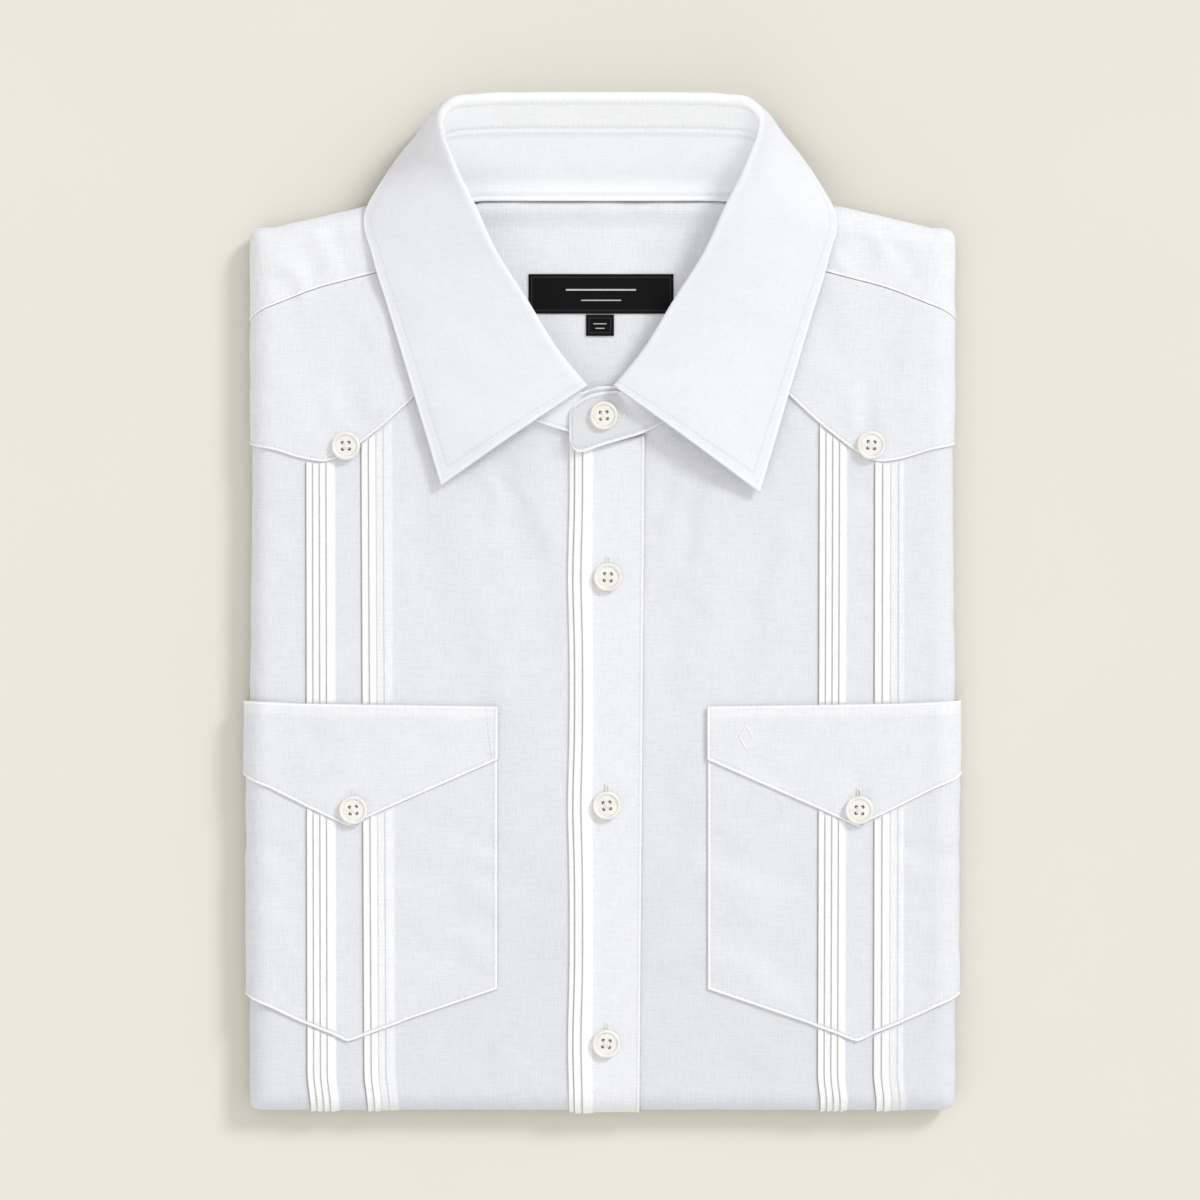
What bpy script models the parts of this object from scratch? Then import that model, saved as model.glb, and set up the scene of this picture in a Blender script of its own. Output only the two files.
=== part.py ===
"""Guayabera shirt, folded flat for display: one object for each piece of cloth and each button.

The folded back, sleeves and tail make a low pillow, and the other pieces lie on it in courses.  So each
piece is worked out in cloth coordinates: s runs across from the centre front, t runs along the body, and
"out" is the distance above the pillow.  Past the pillow's flat top, s and t carry on round its edge.
The collar is lofted through sections around the neck.

Metres, +Z up.  The origin is under the middle of the whole shirt, on the surface that it lies on; -Y is
the hem end, +Y the collar end, and the front faces up.
"""

import bmesh
import bpy
import numpy as np
from mathutils import Vector

MM = 0.001

# The pillow of hidden layers
EDGE_RADIUS = 7.5 * MM          # round of its edge, half its thickness there
CROWN = 2.0 * MM                # how much higher its middle is
SIDE_OUTLINE = 139.4 * MM       # half its width at the shoulders
HIP_SPREAD = 1.0 * MM           # extra half width at the pockets
HIP_SPREAD_FROM = 60.0 * MM     # the spread grows from here
HIP_SPREAD_RUN = 120.0 * MM     # over this length, towards the hem
HEM_OUTLINE = -201.0 * MM       # its hem end
SHOULDER_OUTLINE = 158.2 * MM   # its collar end, beside the neck
SHOULDER_SLOPE = 0.233          # fall of the shoulder line
SHOULDER_POINT = 95.0 * MM      # where the shoulder line starts to fall
NECK_REACH = 7.0 * MM           # how much further the back reaches behind the neck
NECK_REACH_HALF = 76.0 * MM     # half the width of that stretch

# Cloth
GAP = 0.3 * MM                  # between pieces that touch
CLOTH = 1.0 * MM                # wall of one course of cloth
COURSE = CLOTH + GAP
COLLAR_WALL = 1.2 * MM          # collar cloth, two layers and its stiffening
TUCK_HEIGHT = 0.8 * MM          # how far a tuck's fold stands up
FOLD_WIDTH = 0.2 * MM           # run of the step at a fold
WRAP_ANGLES = np.radians([28, 56, 86, 115])   # the front cloth's way round the edge
WRAP_LIMIT = np.radians(127)    # furthest that it goes, in a corner

# The neck: an oval that the stand is sewn to, lifted by the collar
NECK_CENTRE = 118.0 * MM
NECK_HALF_WIDTH = 70.0 * MM
NECK_HALF_LENGTH = 46.0 * MM
NECK_LIFT = 1.8 * MM
NECK_LIFT_RUN = 24.0 * MM

# Collar
COLLAR_CENTRE = -0.8 * MM
ROLL_RADIUS = 1.9 * MM
SEAM_CLEAR = 1.1 * MM           # from the fall's seam to the stand's top edge
TIP_DIFFERENCE = 1.4 * MM       # the right point reaches this much lower than the mean, the left less
FALL_SPARE = 0.7 * MM           # extra height of the fall's facets over the shoulders' round
SECTIONS_A_SIDE = 13

# Front opening
PLACKET_LEFT = -13.6 * MM
PLACKET_RIGHT = 16.1 * MM
FRONT_OUTER_PLAIN = 126.0 * MM  # a plain column between the outer tucks and the edge
CENTRE_SPLIT = 1.0 * MM         # half the distance between the two fronts, under the placket
YOKE_COLUMNS = np.array([71.5, 80, 87, 95, 101, 108.6, 114, 122, 128]) * MM   # from under the collar out

BUTTON_RADIUS = 5.65 * MM
BUTTON_HEIGHT = 2.6 * MM
BUTTON_DISH_RADIUS = 4.2 * MM
BUTTON_DISH_DEPTH = 0.7 * MM
BUTTON_HOLE_RADIUS = 0.7 * MM
BUTTON_HOLE_OFFSET = 1.3 * MM
BUTTON_SIDES = 18

WHITE_CLOTH = ("cloth", (0.80, 0.81, 0.85), 0.85)
WHITE_DOUBLE = ("double_cloth", (0.88, 0.88, 0.90), 0.80)
IVORY = ("button", (0.86, 0.83, 0.76), 0.30)
BLACK_WOVEN = ("label", (0.02, 0.02, 0.02), 0.75)


def table(names, *rows):
    """Named columns of a short table written in millimetres."""
    columns = np.array(rows, float).T * MM
    return dict(zip(names.split(), columns))


# Edges along the cloth.  Each gives t for s.
SHOULDER_SEAM = table("s t", (71, 138.5), (90, 133.4), (114, 127.2), (128, 121.8), (137, 118), (141.5, 114.2),
                      (160, 112))
YOKE_EDGE = table("s t", (60, 98), (74.6, 84), (87, 72.6), (100, 62.4), (108.6, 57.6), (114, 57.6),
                  (122, 59.2), (131, 62.2), (142, 64.6), (160, 66))
FRONT_TOP = table("s t", (0, 66.5), (14, 69.5), (27, 73.4), (44, 87.6), (55, 99), (62, 104), (68, 103),
                  (74.6, 96), (87, 85), (100, 75), (114, 71), (131, 75), (160, 78))
NECK_BACK = table("s t", (0, 161), (48, 160.8), (54, 159), (60, 155.5), (66, 148), (69, 138))
NECK_FRONT = table("s t", (0, 68.5), (14, 71.5), (27, 75.8), (44, 90), (55, 101.5), (62, 111), (67, 125),
                   (69, 134))

# Pockets.  s runs outwards from the inner edge; the point is under the button.
POCKET_TOP = table("s t", (41.6, -40.3), (95, -39.6), (120, -39.2), (143, -38), (160, -37.6))
FLAP_EDGE = table("s t", (41.6, -61.5), (84, -80.2), (95, -85.2), (101.4, -88.2), (107.5, -85.6),
                  (119, -80.2), (142, -67.6), (160, -65))
POCKET_EDGE = table("s t", (41.6, -153.2), (85, -168), (95, -171.6), (102, -174.6), (109, -171.4),
                    (120, -167), (141, -156), (160, -153))
POCKET_INNER_EDGE = 42.0 * MM

# Groups of tucks: the first fold's s at the yoke and at the hem, and the pitch.  Folds face the wearer's right.
TUCKS_IN_GROUP = 4
TUCK_GROUPS = {
    "left_outer": (-118.4 * MM, -117.8 * MM, 2.7 * MM),
    "left_inner": (-96.8 * MM, -95.2 * MM, 3.1 * MM),
    "right_inner": (87.6 * MM, 86.4 * MM, 2.7 * MM),
    "right_outer": (108.6 * MM, 108.0 * MM, 3.0 * MM),
}
PRESS_CLEAR = 0.3 * MM          # a tuck lies flat from this far outside what covers it
PRESS_RUN = 1.4 * MM            # and stands up fully from this far
TUCK_TOP = 60.0 * MM
TUCK_BOTTOM = -200.0 * MM
PLACKET_FOLDS = (-11.3 * MM, -8.1 * MM, -4.0 * MM)

# Half of the collar, from the centre back to the front end.  roll: the fold; seam: where the fall meets the
# stand; base: where the stand meets the neck; edge: the fall's outer edge.
COLLAR = table(
    "roll_x roll_y roll_z seam_x seam_y seam_z base_x base_y base_z edge_x edge_y edge_z",
    (0, 203.0, 37.5, 0, 189.9, 30.2, 0, 161.9, 17.2, 0, 200.6, 5.0),
    (29, 202.9, 37.5, 29, 189.9, 30.2, 27, 161.9, 17.2, 29, 200.5, 5.0),
    (48.8, 202.3, 37.4, 48.7, 189.5, 30.3, 42.2, 161.9, 17.2, 49.8, 199.8, 5.0),
    (59.4, 200.5, 37.2, 58.5, 188.7, 30.4, 48.6, 161.7, 17.3, 62.8, 197.9, 5.2),
    (63.6, 195.6, 36.8, 61.8, 187.4, 30.4, 54.6, 161.0, 17.5, 69.4, 193.6, 5.6),
    (63.3, 188.9, 36.4, 62.6, 182.8, 29.8, 61.2, 158.0, 18.0, 74.4, 187.7, 6.6),
    (60.7, 181.6, 35.8, 61.0, 176.0, 29.0, 67.0, 151.4, 18.8, 80.2, 180.6, 8.6),
    (56.6, 172.0, 34.8, 59.0, 167.0, 28.0, 71.0, 142.4, 20.0, 87.4, 169.8, 12.6),
    (51.0, 161.2, 33.4, 56.4, 156.8, 27.0, 72.4, 131.4, 20.8, 94.0, 157.6, 16.2),
    (41.5, 141.0, 31.2, 48.4, 136.2, 25.4, 68.6, 116.4, 21.2, 91.4, 139.8, 19.0),
    (28.7, 120.7, 29.2, 35.6, 115.5, 24.2, 58.6, 103.4, 21.6, 84.0, 115.1, 19.6),
    (16.8, 101.6, 27.6, 22.8, 96.8, 23.6, 43.4, 88.2, 21.6, 75.2, 85.4, 19.4),
    (5.4, 87.6, 27.1, 8.4, 85.2, 24.4, 27.0, 74.6, 21.6, 63.7, 46.4, 19.0),
)

# The stand's two ends past the fall, towards the centre: its top and base edges.
STAND_UNDER_END = table("top_x top_y base_x base_y", (-5.6, 86.4, -13.6, 69.6), (-1.5, 87.6, -2.0, 67.4),
                        (4.0, 87.9, 5.0, 68.0), (9.0, 87.6, 10.0, 69.5))
STAND_OVER_END = table("top_x top_y base_x base_y", (5.5, 86.0, 16.6, 69.2), (0.5, 85.6, 7.8, 66.4),
                       (-4.2, 84.6, -1.5, 63.6), (-8.6, 82.4, -8.2, 61.4), (-11.8, 79.6, -11.2, 62.2),
                       (-13.4, 76.6, -13.3, 66.5))

BUTTONS = {  # s, t and the height of the cloth that each lies on, above the pillow
    "neck_button": (0.5 * MM, 76.0 * MM, 4 * COURSE + 0.5 * MM),
    "placket_button_1": (2.1 * MM, 11.5 * MM, 2 * COURSE),
    "placket_button_2": (1.7 * MM, -79.8 * MM, 2 * COURSE),
    "placket_button_3": (1.5 * MM, -175.0 * MM, 2 * COURSE),
    "yoke_button_left": (-102.6 * MM, 64.0 * MM, 2 * COURSE),
    "yoke_button_right": (107.4 * MM, 64.3 * MM, 2 * COURSE),
    "pocket_button_left": (-99.6 * MM, -81.6 * MM, 3 * COURSE),
    "pocket_button_right": (102.6 * MM, -81.6 * MM, 3 * COURSE),
}

LABEL = (-29.6 * MM, 28.4 * MM, 116.9 * MM, 132.8 * MM)
SIZE_TAB = (-6.6 * MM, 4.6 * MM, 108.0 * MM, 116.5 * MM)


# ---------------------------------------------------------------- the pillow

SIDE_FLAT = SIDE_OUTLINE - EDGE_RADIUS
HEM_FLAT = HEM_OUTLINE + EDGE_RADIUS


def along(curve, s):
    """t of a tabulated edge at |s|."""
    return np.interp(np.abs(s), curve["s"], curve["t"])


def smooth_step(value):
    """0 below 0, 1 above 1, and a soft S between."""
    value = np.clip(value, 0, 1)
    return value * value * (3 - 2 * value)


def hip_spread(t):
    """Extra half width of the pillow at t."""
    return HIP_SPREAD * smooth_step((HIP_SPREAD_FROM - t) / HIP_SPREAD_RUN)


def top_flat(side):
    """t where the flat top ends at the collar end, at a distance from the centre line."""
    line = SHOULDER_OUTLINE - EDGE_RADIUS - SHOULDER_SLOPE * np.maximum(side - SHOULDER_POINT, 0)
    return line + NECK_REACH * smooth_step((NECK_REACH_HALF + 12 * MM - side) / (12 * MM))


def half_thickness(side, t):
    """Half the pillow's thickness: a soft crown that dies out at the edges."""
    middle = 0.5 * (SHOULDER_OUTLINE + HEM_OUTLINE)
    reach = 0.5 * (SHOULDER_OUTLINE - HEM_OUTLINE) - EDGE_RADIUS
    across = np.clip(1 - (side / SIDE_FLAT) ** 2, 0, 1)
    lengthwise = np.clip(1 - ((t - middle) / reach) ** 2, 0, 1)
    return EDGE_RADIUS + 0.5 * CROWN * across * lengthwise


def neck_lift(x, y):
    """The collar lifts the cloth around the neck oval by this much."""
    radial = np.hypot(x / NECK_HALF_WIDTH, (y - NECK_CENTRE) / NECK_HALF_LENGTH)
    distance = np.maximum(radial - 1, 0) * 0.5 * (NECK_HALF_WIDTH + NECK_HALF_LENGTH)
    return NECK_LIFT * np.exp(-(distance / NECK_LIFT_RUN) ** 2)


def pillow(s, t, out, lifted=True):
    """Points at cloth coordinates s, t and height out.  Past the flat top the distance to go becomes an
    angle round the edge; in a corner the two distances add as fourth powers, for a small round."""
    s, t, out = np.broadcast_arrays(np.asarray(s, float), np.asarray(t, float), np.asarray(out, float))
    side, spread = np.abs(s), hip_spread(t)
    side = side + spread * smooth_step((side - 0.9 * SIDE_FLAT) / (0.1 * SIDE_FLAT))
    flat = SIDE_FLAT + spread
    top = top_flat(np.minimum(side, flat))
    beyond_side = np.maximum(side - flat, 0)
    beyond_end = np.maximum(t - top, 0) - np.maximum(HEM_FLAT - t, 0)
    beyond = (beyond_side ** 4 + beyond_end ** 4) ** 0.25
    angle = np.minimum(beyond / EDGE_RADIUS, WRAP_LIMIT)
    share = 1 / np.where(beyond > 0, beyond, 1)
    reach = (EDGE_RADIUS + out) * np.sin(angle)
    half = half_thickness(side, t)
    x = np.sign(s) * (np.minimum(side, flat) + reach * beyond_side * share)
    y = np.clip(t, HEM_FLAT, top) + reach * beyond_end * share
    z = half + (half + out) * np.cos(angle)
    if lifted:
        z = z + neck_lift(x, y)
    return np.stack([x, y, z], axis=-1)


def height_over(x, y, out):
    """Height of the course at distance out above the pillow, seen from above; 0 beside the pillow."""
    side, spread = np.abs(x), hip_spread(y)
    beyond_side = np.maximum(side - SIDE_FLAT - spread, 0)
    top = top_flat(np.minimum(side, SIDE_FLAT + spread))
    beyond_end = np.maximum(y - top, 0) + np.maximum(HEM_FLAT - y, 0)
    reach = (beyond_side ** 4 + beyond_end ** 4) ** 0.25 / (EDGE_RADIUS + out)
    half = half_thickness(side, y)
    height = half + (half + out) * np.sqrt(np.clip(1 - reach ** 2, 0, 1)) + neck_lift(x, y)
    return np.where(reach < 1, height, 0)


# ---------------------------------------------------------------- objects

def clear_scene():
    for item in list(bpy.data.objects):
        bpy.data.objects.remove(item, do_unlink=True)


def material(kind):
    name, colour, roughness = kind
    made = bpy.data.materials.new(name)
    made.use_nodes = True
    shader = made.node_tree.nodes["Principled BSDF"]
    shader.inputs["Base Color"].default_value = (*colour, 1)
    shader.inputs["Roughness"].default_value = roughness
    return made


def add_object(name, points, faces, kind, smooth=True):
    """A closed mesh as a named object with its own material."""
    mesh = bpy.data.meshes.new(name)
    mesh.from_pydata([tuple(point) for point in points], [], faces)
    mesh.validate()
    if smooth:
        mesh.shade_smooth()
        mesh.set_sharp_from_angle(angle=np.radians(40))
    mesh.materials.append(material(kind))
    made = bpy.data.objects.new(name, mesh)
    bpy.context.collection.objects.link(made)
    return made


def add_wall(name, under, upper, kind):
    """A wall of cloth between two grids of points.  Rows run along, columns across, so that the upper
    grid's faces turn up; the four rims are closed with quads."""
    rows, columns = upper.shape[:2]
    count = rows * columns

    def index(row, column, layer):
        return layer * count + row * columns + column

    faces = []
    for row in range(rows - 1):
        for column in range(columns - 1):
            corners = [(row, column), (row, column + 1), (row + 1, column + 1), (row + 1, column)]
            faces.append([index(*corner, 1) for corner in corners])
            faces.append([index(*corner, 0) for corner in reversed(corners)])
    rim = [(0, column) for column in range(columns)]
    rim += [(row, columns - 1) for row in range(1, rows)]
    rim += [(rows - 1, column) for column in range(columns - 2, -1, -1)]
    rim += [(row, 0) for row in range(rows - 2, 0, -1)]
    for here, following in zip(rim, rim[1:] + rim[:1]):
        faces.append([index(*here, 0), index(*following, 0), index(*following, 1), index(*here, 1)])
    points = np.concatenate([under.reshape(-1, 3), upper.reshape(-1, 3)])
    return add_object(name, points, faces, kind)


def add_course(name, s, t, course, kind, raised=0.0, lifted=True):
    """A piece of cloth over a grid of cloth coordinates, lying in the given course above the pillow."""
    under = GAP + (course - 1) * COURSE
    return add_wall(name, pillow(s, t, under, lifted), pillow(s, t, under + CLOTH + raised, lifted), kind)


# ---------------------------------------------------------------- grids of cloth coordinates

def wrapped_columns(inner, side):
    """Columns from the inner ones out round the given side's edge, from -X to +X."""
    outer = SIDE_FLAT + EDGE_RADIUS * WRAP_ANGLES
    columns = np.concatenate([inner, [SIDE_FLAT], outer])
    return columns if side > 0 else -columns[::-1]


def hem_wrap():
    """Rows round the hem end, from underneath up to the flat top."""
    return list(HEM_FLAT - EDGE_RADIUS * WRAP_ANGLES[::-1]) + [HEM_FLAT]


def fold_profile(folds, end):
    """Columns and heights of a row of tucks: a step up at each fold, then a slope down to the next."""
    columns, heights = [], []
    for fold in folds:
        columns += [fold - FOLD_WIDTH / 2, fold + FOLD_WIDTH / 2]
        heights += [0.15 * TUCK_HEIGHT if heights else 0.0, TUCK_HEIGHT]
    return np.array(columns + [end]), np.array(heights + [0.0])


def tucked_columns(side, plain, rows):
    """Grids of s and of tuck height for a side's two groups, between plain columns at the given distances."""
    names = ("left_outer", "left_inner") if side < 0 else ("right_inner", "right_outer")
    top, bottom, heights = [], [], []
    for name in names:
        first_top, first_bottom, pitch = TUCK_GROUPS[name]
        for start, columns in ((first_top, top), (first_bottom, bottom)):
            folds = start + pitch * np.arange(TUCKS_IN_GROUP)
            found, profile = fold_profile(folds, folds[-1] + pitch)
            columns.extend(found)
        heights.extend(profile)
    everything = np.array(plain + top)
    order = np.argsort(everything, kind="stable")
    top = everything[order]
    bottom = np.array(plain + bottom)[order]
    heights = np.array([0.0] * len(plain) + heights)[order]
    share = np.clip((TUCK_TOP - rows) / (TUCK_TOP - TUCK_BOTTOM), 0, 1)[:, None]
    return top + (bottom - top) * share, np.broadcast_to(heights, (len(rows), len(heights)))


def with_edge(side, s, heights):
    """The same grids with the columns round the side's edge added, where no tuck stands up."""
    edge = np.repeat(wrapped_columns([], side)[None, :], len(s), 0)
    none = np.zeros_like(edge)
    if side < 0:
        return np.hstack([edge, s]), np.hstack([none, heights])
    return np.hstack([s, edge]), np.hstack([heights, none])


# ---------------------------------------------------------------- pieces

def outline_ring(inset, height):
    """The pillow's outline moved in by inset, at one height, as a closed ring of points."""
    reach = EDGE_RADIUS - inset
    quarter = np.radians([0, 25, 45, 65, 90])
    p, q = np.cos(quarter) ** 0.75 * reach, np.sin(quarter) ** 0.75 * reach
    rows = np.linspace(-0.165, 0.095, 5)
    columns = np.array([-118, -95, -88, -76, 0, 76, 88, 95, 118]) * MM
    flat_low, flat_high = SIDE_FLAT + hip_spread(HEM_FLAT), SIDE_FLAT
    corner_top = top_flat(np.array(SIDE_FLAT))
    bottom = np.stack([columns, np.full_like(columns, HEM_FLAT - reach)], axis=-1)
    low_right = np.stack([flat_low + p[::-1], HEM_FLAT - q[::-1]], axis=-1)
    right = np.stack([SIDE_FLAT + hip_spread(rows) + reach, rows], axis=-1)
    high_right = np.stack([flat_high + p, corner_top + q], axis=-1)
    top = np.stack([columns[::-1], top_flat(np.abs(columns[::-1])) + reach], axis=-1)
    mirror = np.array([-1, 1])
    ring = np.concatenate([bottom, low_right, right, high_right, top, high_right[::-1] * mirror,
                           right[::-1] * mirror, low_right[::-1] * mirror])
    return np.column_stack([ring, np.full(len(ring), height)])


def add_folded_layers():
    """The hidden back, sleeves and tail: a pillow with a flat underside, whose lower edge shows two folded
    layers.  Rings run from the underside up; the top is closed by rings drawn in to the middle."""
    folds = table("inset height", (3.4, 0.0), (2.3, 0.5), (2.0, 1.1), (2.4, 1.8), (3.6, 2.0), (2.6, 2.3),
                  (1.8, 3.0), (1.6, 3.6))
    rings = [outline_ring(inset, height) for inset, height in zip(folds["inset"], folds["height"])]
    for angle in np.radians([106, 80, 54, 28]):
        inset = EDGE_RADIUS * (1 - np.sin(angle))
        rings.append(outline_ring(inset, EDGE_RADIUS * (1 + np.cos(angle))))
    middle = np.array([0, 0.5 * (SHOULDER_OUTLINE + HEM_OUTLINE)])
    rim = rings[-1][:, :2]
    for share in (0.85, 0.6, 0.3):
        plan = middle + (rim - middle) * share
        rings.append(np.column_stack([plan, 2 * half_thickness(np.abs(plan[:, 0]), plan[:, 1])]))
    count = len(rings[0])
    faces = [list(range(count))[::-1]]
    for level in range(len(rings) - 1):
        for step in range(count):
            following = (step + 1) % count
            low, high = level * count, (level + 1) * count
            faces.append([low + step, low + following, high + following, high + step])
    faces.append([(len(rings) - 1) * count + step for step in range(count)])
    return add_object("folded_layers", np.concatenate(rings), faces, WHITE_CLOTH)


def add_front(side, name):
    """One front, from under the placket out round its side, and from round the hem up to the neck and
    under its yoke.  Its tucks lie flat where a pocket or yoke covers them."""
    plain = side * np.array([CENTRE_SPLIT, 27 * MM, 50 * MM, 68 * MM, FRONT_OUTER_PLAIN])
    hem = hem_wrap()
    nominal = np.array(hem + [-0.173, -0.172, -0.041, -0.040, 0.010, 0.060, 0.061, 0.075])
    s, heights = with_edge(side, *tucked_columns(side, list(plain), nominal))
    hem_rows = np.repeat(np.array(hem)[:, None], s.shape[1], 1)
    upper = s[len(hem):]
    pocket_edge, pocket_top = along(POCKET_EDGE, upper[0]), along(POCKET_TOP, upper[2])
    yoke = np.minimum(along(YOKE_EDGE, upper[5]), along(FRONT_TOP, upper[5]) - 6 * MM)
    edges = [pocket_edge - PRESS_RUN, pocket_edge - PRESS_CLEAR, pocket_top + PRESS_CLEAR,
             pocket_top + PRESS_RUN, 0.5 * (pocket_top + yoke), yoke - PRESS_RUN, yoke - PRESS_CLEAR,
             along(FRONT_TOP, upper[7])]
    shows = np.array([1] * len(hem) + [1, 0, 0, 1, 1, 1, 0, 0])[:, None]
    return add_course(name, s, np.vstack([hem_rows, edges]), 1, WHITE_CLOTH, raised=heights * shows)


def add_placket():
    """The front strip with its two tucks, over both fronts and round the hem."""
    folds, heights = fold_profile(PLACKET_FOLDS[:2], PLACKET_FOLDS[2])
    columns = np.concatenate([[PLACKET_LEFT], folds, [4 * MM, 10 * MM, PLACKET_RIGHT]])
    heights = np.concatenate([[0], heights, [0, 0, 0]])
    rows = np.array(hem_wrap() + list(np.linspace(-0.150, 0.058, 6)))
    s, t = np.meshgrid(columns, rows)
    top = np.array([along(FRONT_TOP, columns) - 1.5 * MM])
    s, t = np.vstack([s, s[:1]]), np.vstack([t, top])
    return add_course("placket", s, t, 2, WHITE_DOUBLE, raised=np.broadcast_to(heights, s.shape))


def add_shoulder_yoke(side, name):
    """One shoulder of the back yoke, from its seam on the front over the shoulder's edge."""
    s = wrapped_columns(YOKE_COLUMNS, side)
    seam, top = along(SHOULDER_SEAM, s) + 0.5 * GAP, top_flat(np.minimum(np.abs(s), SIDE_FLAT))
    rows = [seam + share * (top - seam) for share in (0, 0.35, 0.7, 1)]
    rows += [top + EDGE_RADIUS * angle for angle in WRAP_ANGLES]
    return add_course(name, np.broadcast_to(s, (len(rows), len(s))), np.array(rows), 2, WHITE_DOUBLE)


def add_front_yoke(side, name):
    """One pointed front yoke, over the top of the front and up to the shoulder seam."""
    s = wrapped_columns(YOKE_COLUMNS, side)
    seam, edge = along(SHOULDER_SEAM, s) - 0.5 * GAP, along(YOKE_EDGE, s)
    rows = [edge + share * (seam - edge) for share in (0, 0.25, 0.5, 0.75, 1)]
    return add_course(name, np.broadcast_to(s, (len(rows), len(s))), np.array(rows), 2, WHITE_DOUBLE)


def add_pocket(side, name):
    """One chest pocket, round the side's edge, its tucks in line with the front's below the flap."""
    plain = side * np.array([POCKET_INNER_EDGE, 62 * MM, FRONT_OUTER_PLAIN])
    nominal = np.array([-0.172, -0.130, -0.086, -0.084, -0.040])
    s, heights = with_edge(side, *tucked_columns(side, list(plain), nominal))
    bottom, flap, top = along(POCKET_EDGE, s[0]), along(FLAP_EDGE, s[2]), along(POCKET_TOP, s[4])
    t = np.array([bottom, 0.5 * (bottom + flap), flap - PRESS_RUN, flap - PRESS_CLEAR, top])
    shows = np.array([1, 1, 1, 0, 0])[:, None]
    return add_course(name, s, t, 2, WHITE_DOUBLE, raised=heights * shows)


def add_pocket_flap(side, name):
    """The pointed flap across a pocket's top."""
    inner = np.array([POCKET_INNER_EDGE, 62 * MM, 84 * MM, 95 * MM, 101.4 * MM, 107.5 * MM, 119 * MM,
                      128 * MM])
    s = wrapped_columns(inner, side)
    edge, top = along(FLAP_EDGE, s), along(POCKET_TOP, s)
    rows = [edge, 0.5 * (edge + top), top]
    return add_course(name, np.broadcast_to(s, (3, len(s))), np.array(rows), 3, WHITE_DOUBLE)


def add_inner_back_yoke():
    """The inside of the back yoke, seen through the neck."""
    s = np.array([-68, -62, -54, -44, -27, -14, 0, 14, 27, 44, 54, 62, 68]) * MM
    low, high = along(NECK_FRONT, s) + 0.6 * MM, along(NECK_BACK, s) - 0.3 * MM
    rows = [low + share * (high - low) for share in (0, 0.3, 0.6, 0.85, 1)]
    return add_course("inner_back_yoke", np.broadcast_to(s, (5, len(s))), np.array(rows), 1, WHITE_CLOTH,
                      lifted=False)


def add_label(name, corners, columns):
    """A flat woven label on the inside of the yoke."""
    left, right, low, high = corners
    s, t = np.meshgrid(np.linspace(left, right, columns), np.linspace(low, high, 3))
    return add_course(name, s, t, 2, BLACK_WOVEN, lifted=False)


def collar_rows(side):
    """The collar's table read at even steps of arc along the roll, as a dictionary of point arrays."""
    roll = np.stack([COLLAR["roll_x"], COLLAR["roll_y"], COLLAR["roll_z"]], axis=-1)
    length = np.concatenate([[0], np.cumsum(np.linalg.norm(np.diff(roll, axis=0), axis=1))])
    steps = np.linspace(0, length[-1], SECTIONS_A_SIDE + 1)
    found = {}
    for key in ("roll", "seam", "base", "edge"):
        point = np.stack([spline(length, COLLAR[key + axis], steps) for axis in ("_x", "_y", "_z")], axis=-1)
        if key == "edge":
            point[:, 1] -= side * TIP_DIFFERENCE * (steps / length[-1]) ** 2
        point[:, 0] = COLLAR_CENTRE + side * point[:, 0]
        found[key] = point
    return found


def spline(knots, values, at):
    """A smooth curve through a column of a table: cubic pieces whose slopes are means of their neighbours'."""
    slopes = np.gradient(values, knots)
    piece = np.clip(np.searchsorted(knots, at, side="right") - 1, 0, len(knots) - 2)
    width = knots[piece + 1] - knots[piece]
    u = (at - knots[piece]) / width
    start, end = values[piece], values[piece + 1]
    return ((2 * u ** 3 - 3 * u ** 2 + 1) * start + (u ** 3 - 2 * u ** 2 + u) * width * slopes[piece]
            + (3 * u ** 2 - 2 * u ** 3) * end + (u ** 3 - u ** 2) * width * slopes[piece + 1])


def whole_collar():
    """Both halves of the collar's table as one run from the left end round the back to the right end."""
    left, right = collar_rows(-1), collar_rows(1)
    return {key: np.concatenate([left[key][:0:-1], right[key]]) for key in left}


def unit(vectors):
    return vectors / np.linalg.norm(vectors, axis=-1, keepdims=True)


def wall_from_centre(name, centre, thickness, kind):
    """A wall of even thickness about a grid of points, moved out along its normals both ways."""
    normal = unit(np.cross(np.gradient(centre, axis=1), np.gradient(centre, axis=0)))
    return add_wall(name, centre - 0.5 * thickness * normal, centre + 0.5 * thickness * normal, kind)


def clear_of_courses(points, courses, wall, spare=0.0):
    """Points raised where they would sink into the given number of courses below."""
    out = courses * COURSE + GAP + 0.62 * wall + spare
    floor = height_over(points[..., 0], points[..., 1], out)
    return np.concatenate([points[..., :2], np.maximum(points[..., 2], floor)[..., None]], axis=-1)


def add_collar_fall(rows):
    """The fall.  Each section goes from the seam up to the roll, round it on a half circle, and out over a
    soft bulge to the edge."""
    roll, seam, edge = rows["roll"], rows["seam"], rows["edge"]
    to_edge, to_seam = unit(edge - roll), unit(seam - roll)
    inward, across = unit(to_edge + to_seam), unit(to_edge - to_seam)
    centre = roll + ROLL_RADIUS * inward
    section = [seam]
    for angle in np.radians([-90, -45, 0, 45, 90]):
        section.append(centre + ROLL_RADIUS * (np.sin(angle) * across - np.cos(angle) * inward))
    start = section[-1]
    length = np.linalg.norm(edge - start, axis=-1, keepdims=True)
    for share in (0.3, 0.62, 1.0):
        bulge = 0.045 * length * np.sin(np.pi * share)
        section.append(start + share * (edge - start) + bulge * unit(across - inward * 0.2))
    grid = np.stack(section, axis=0)
    grid = np.concatenate([grid[:6], clear_of_courses(grid[6:], 2, COLLAR_WALL, FALL_SPARE)])
    return wall_from_centre("collar_fall", grid[::-1], COLLAR_WALL, WHITE_DOUBLE)


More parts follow.
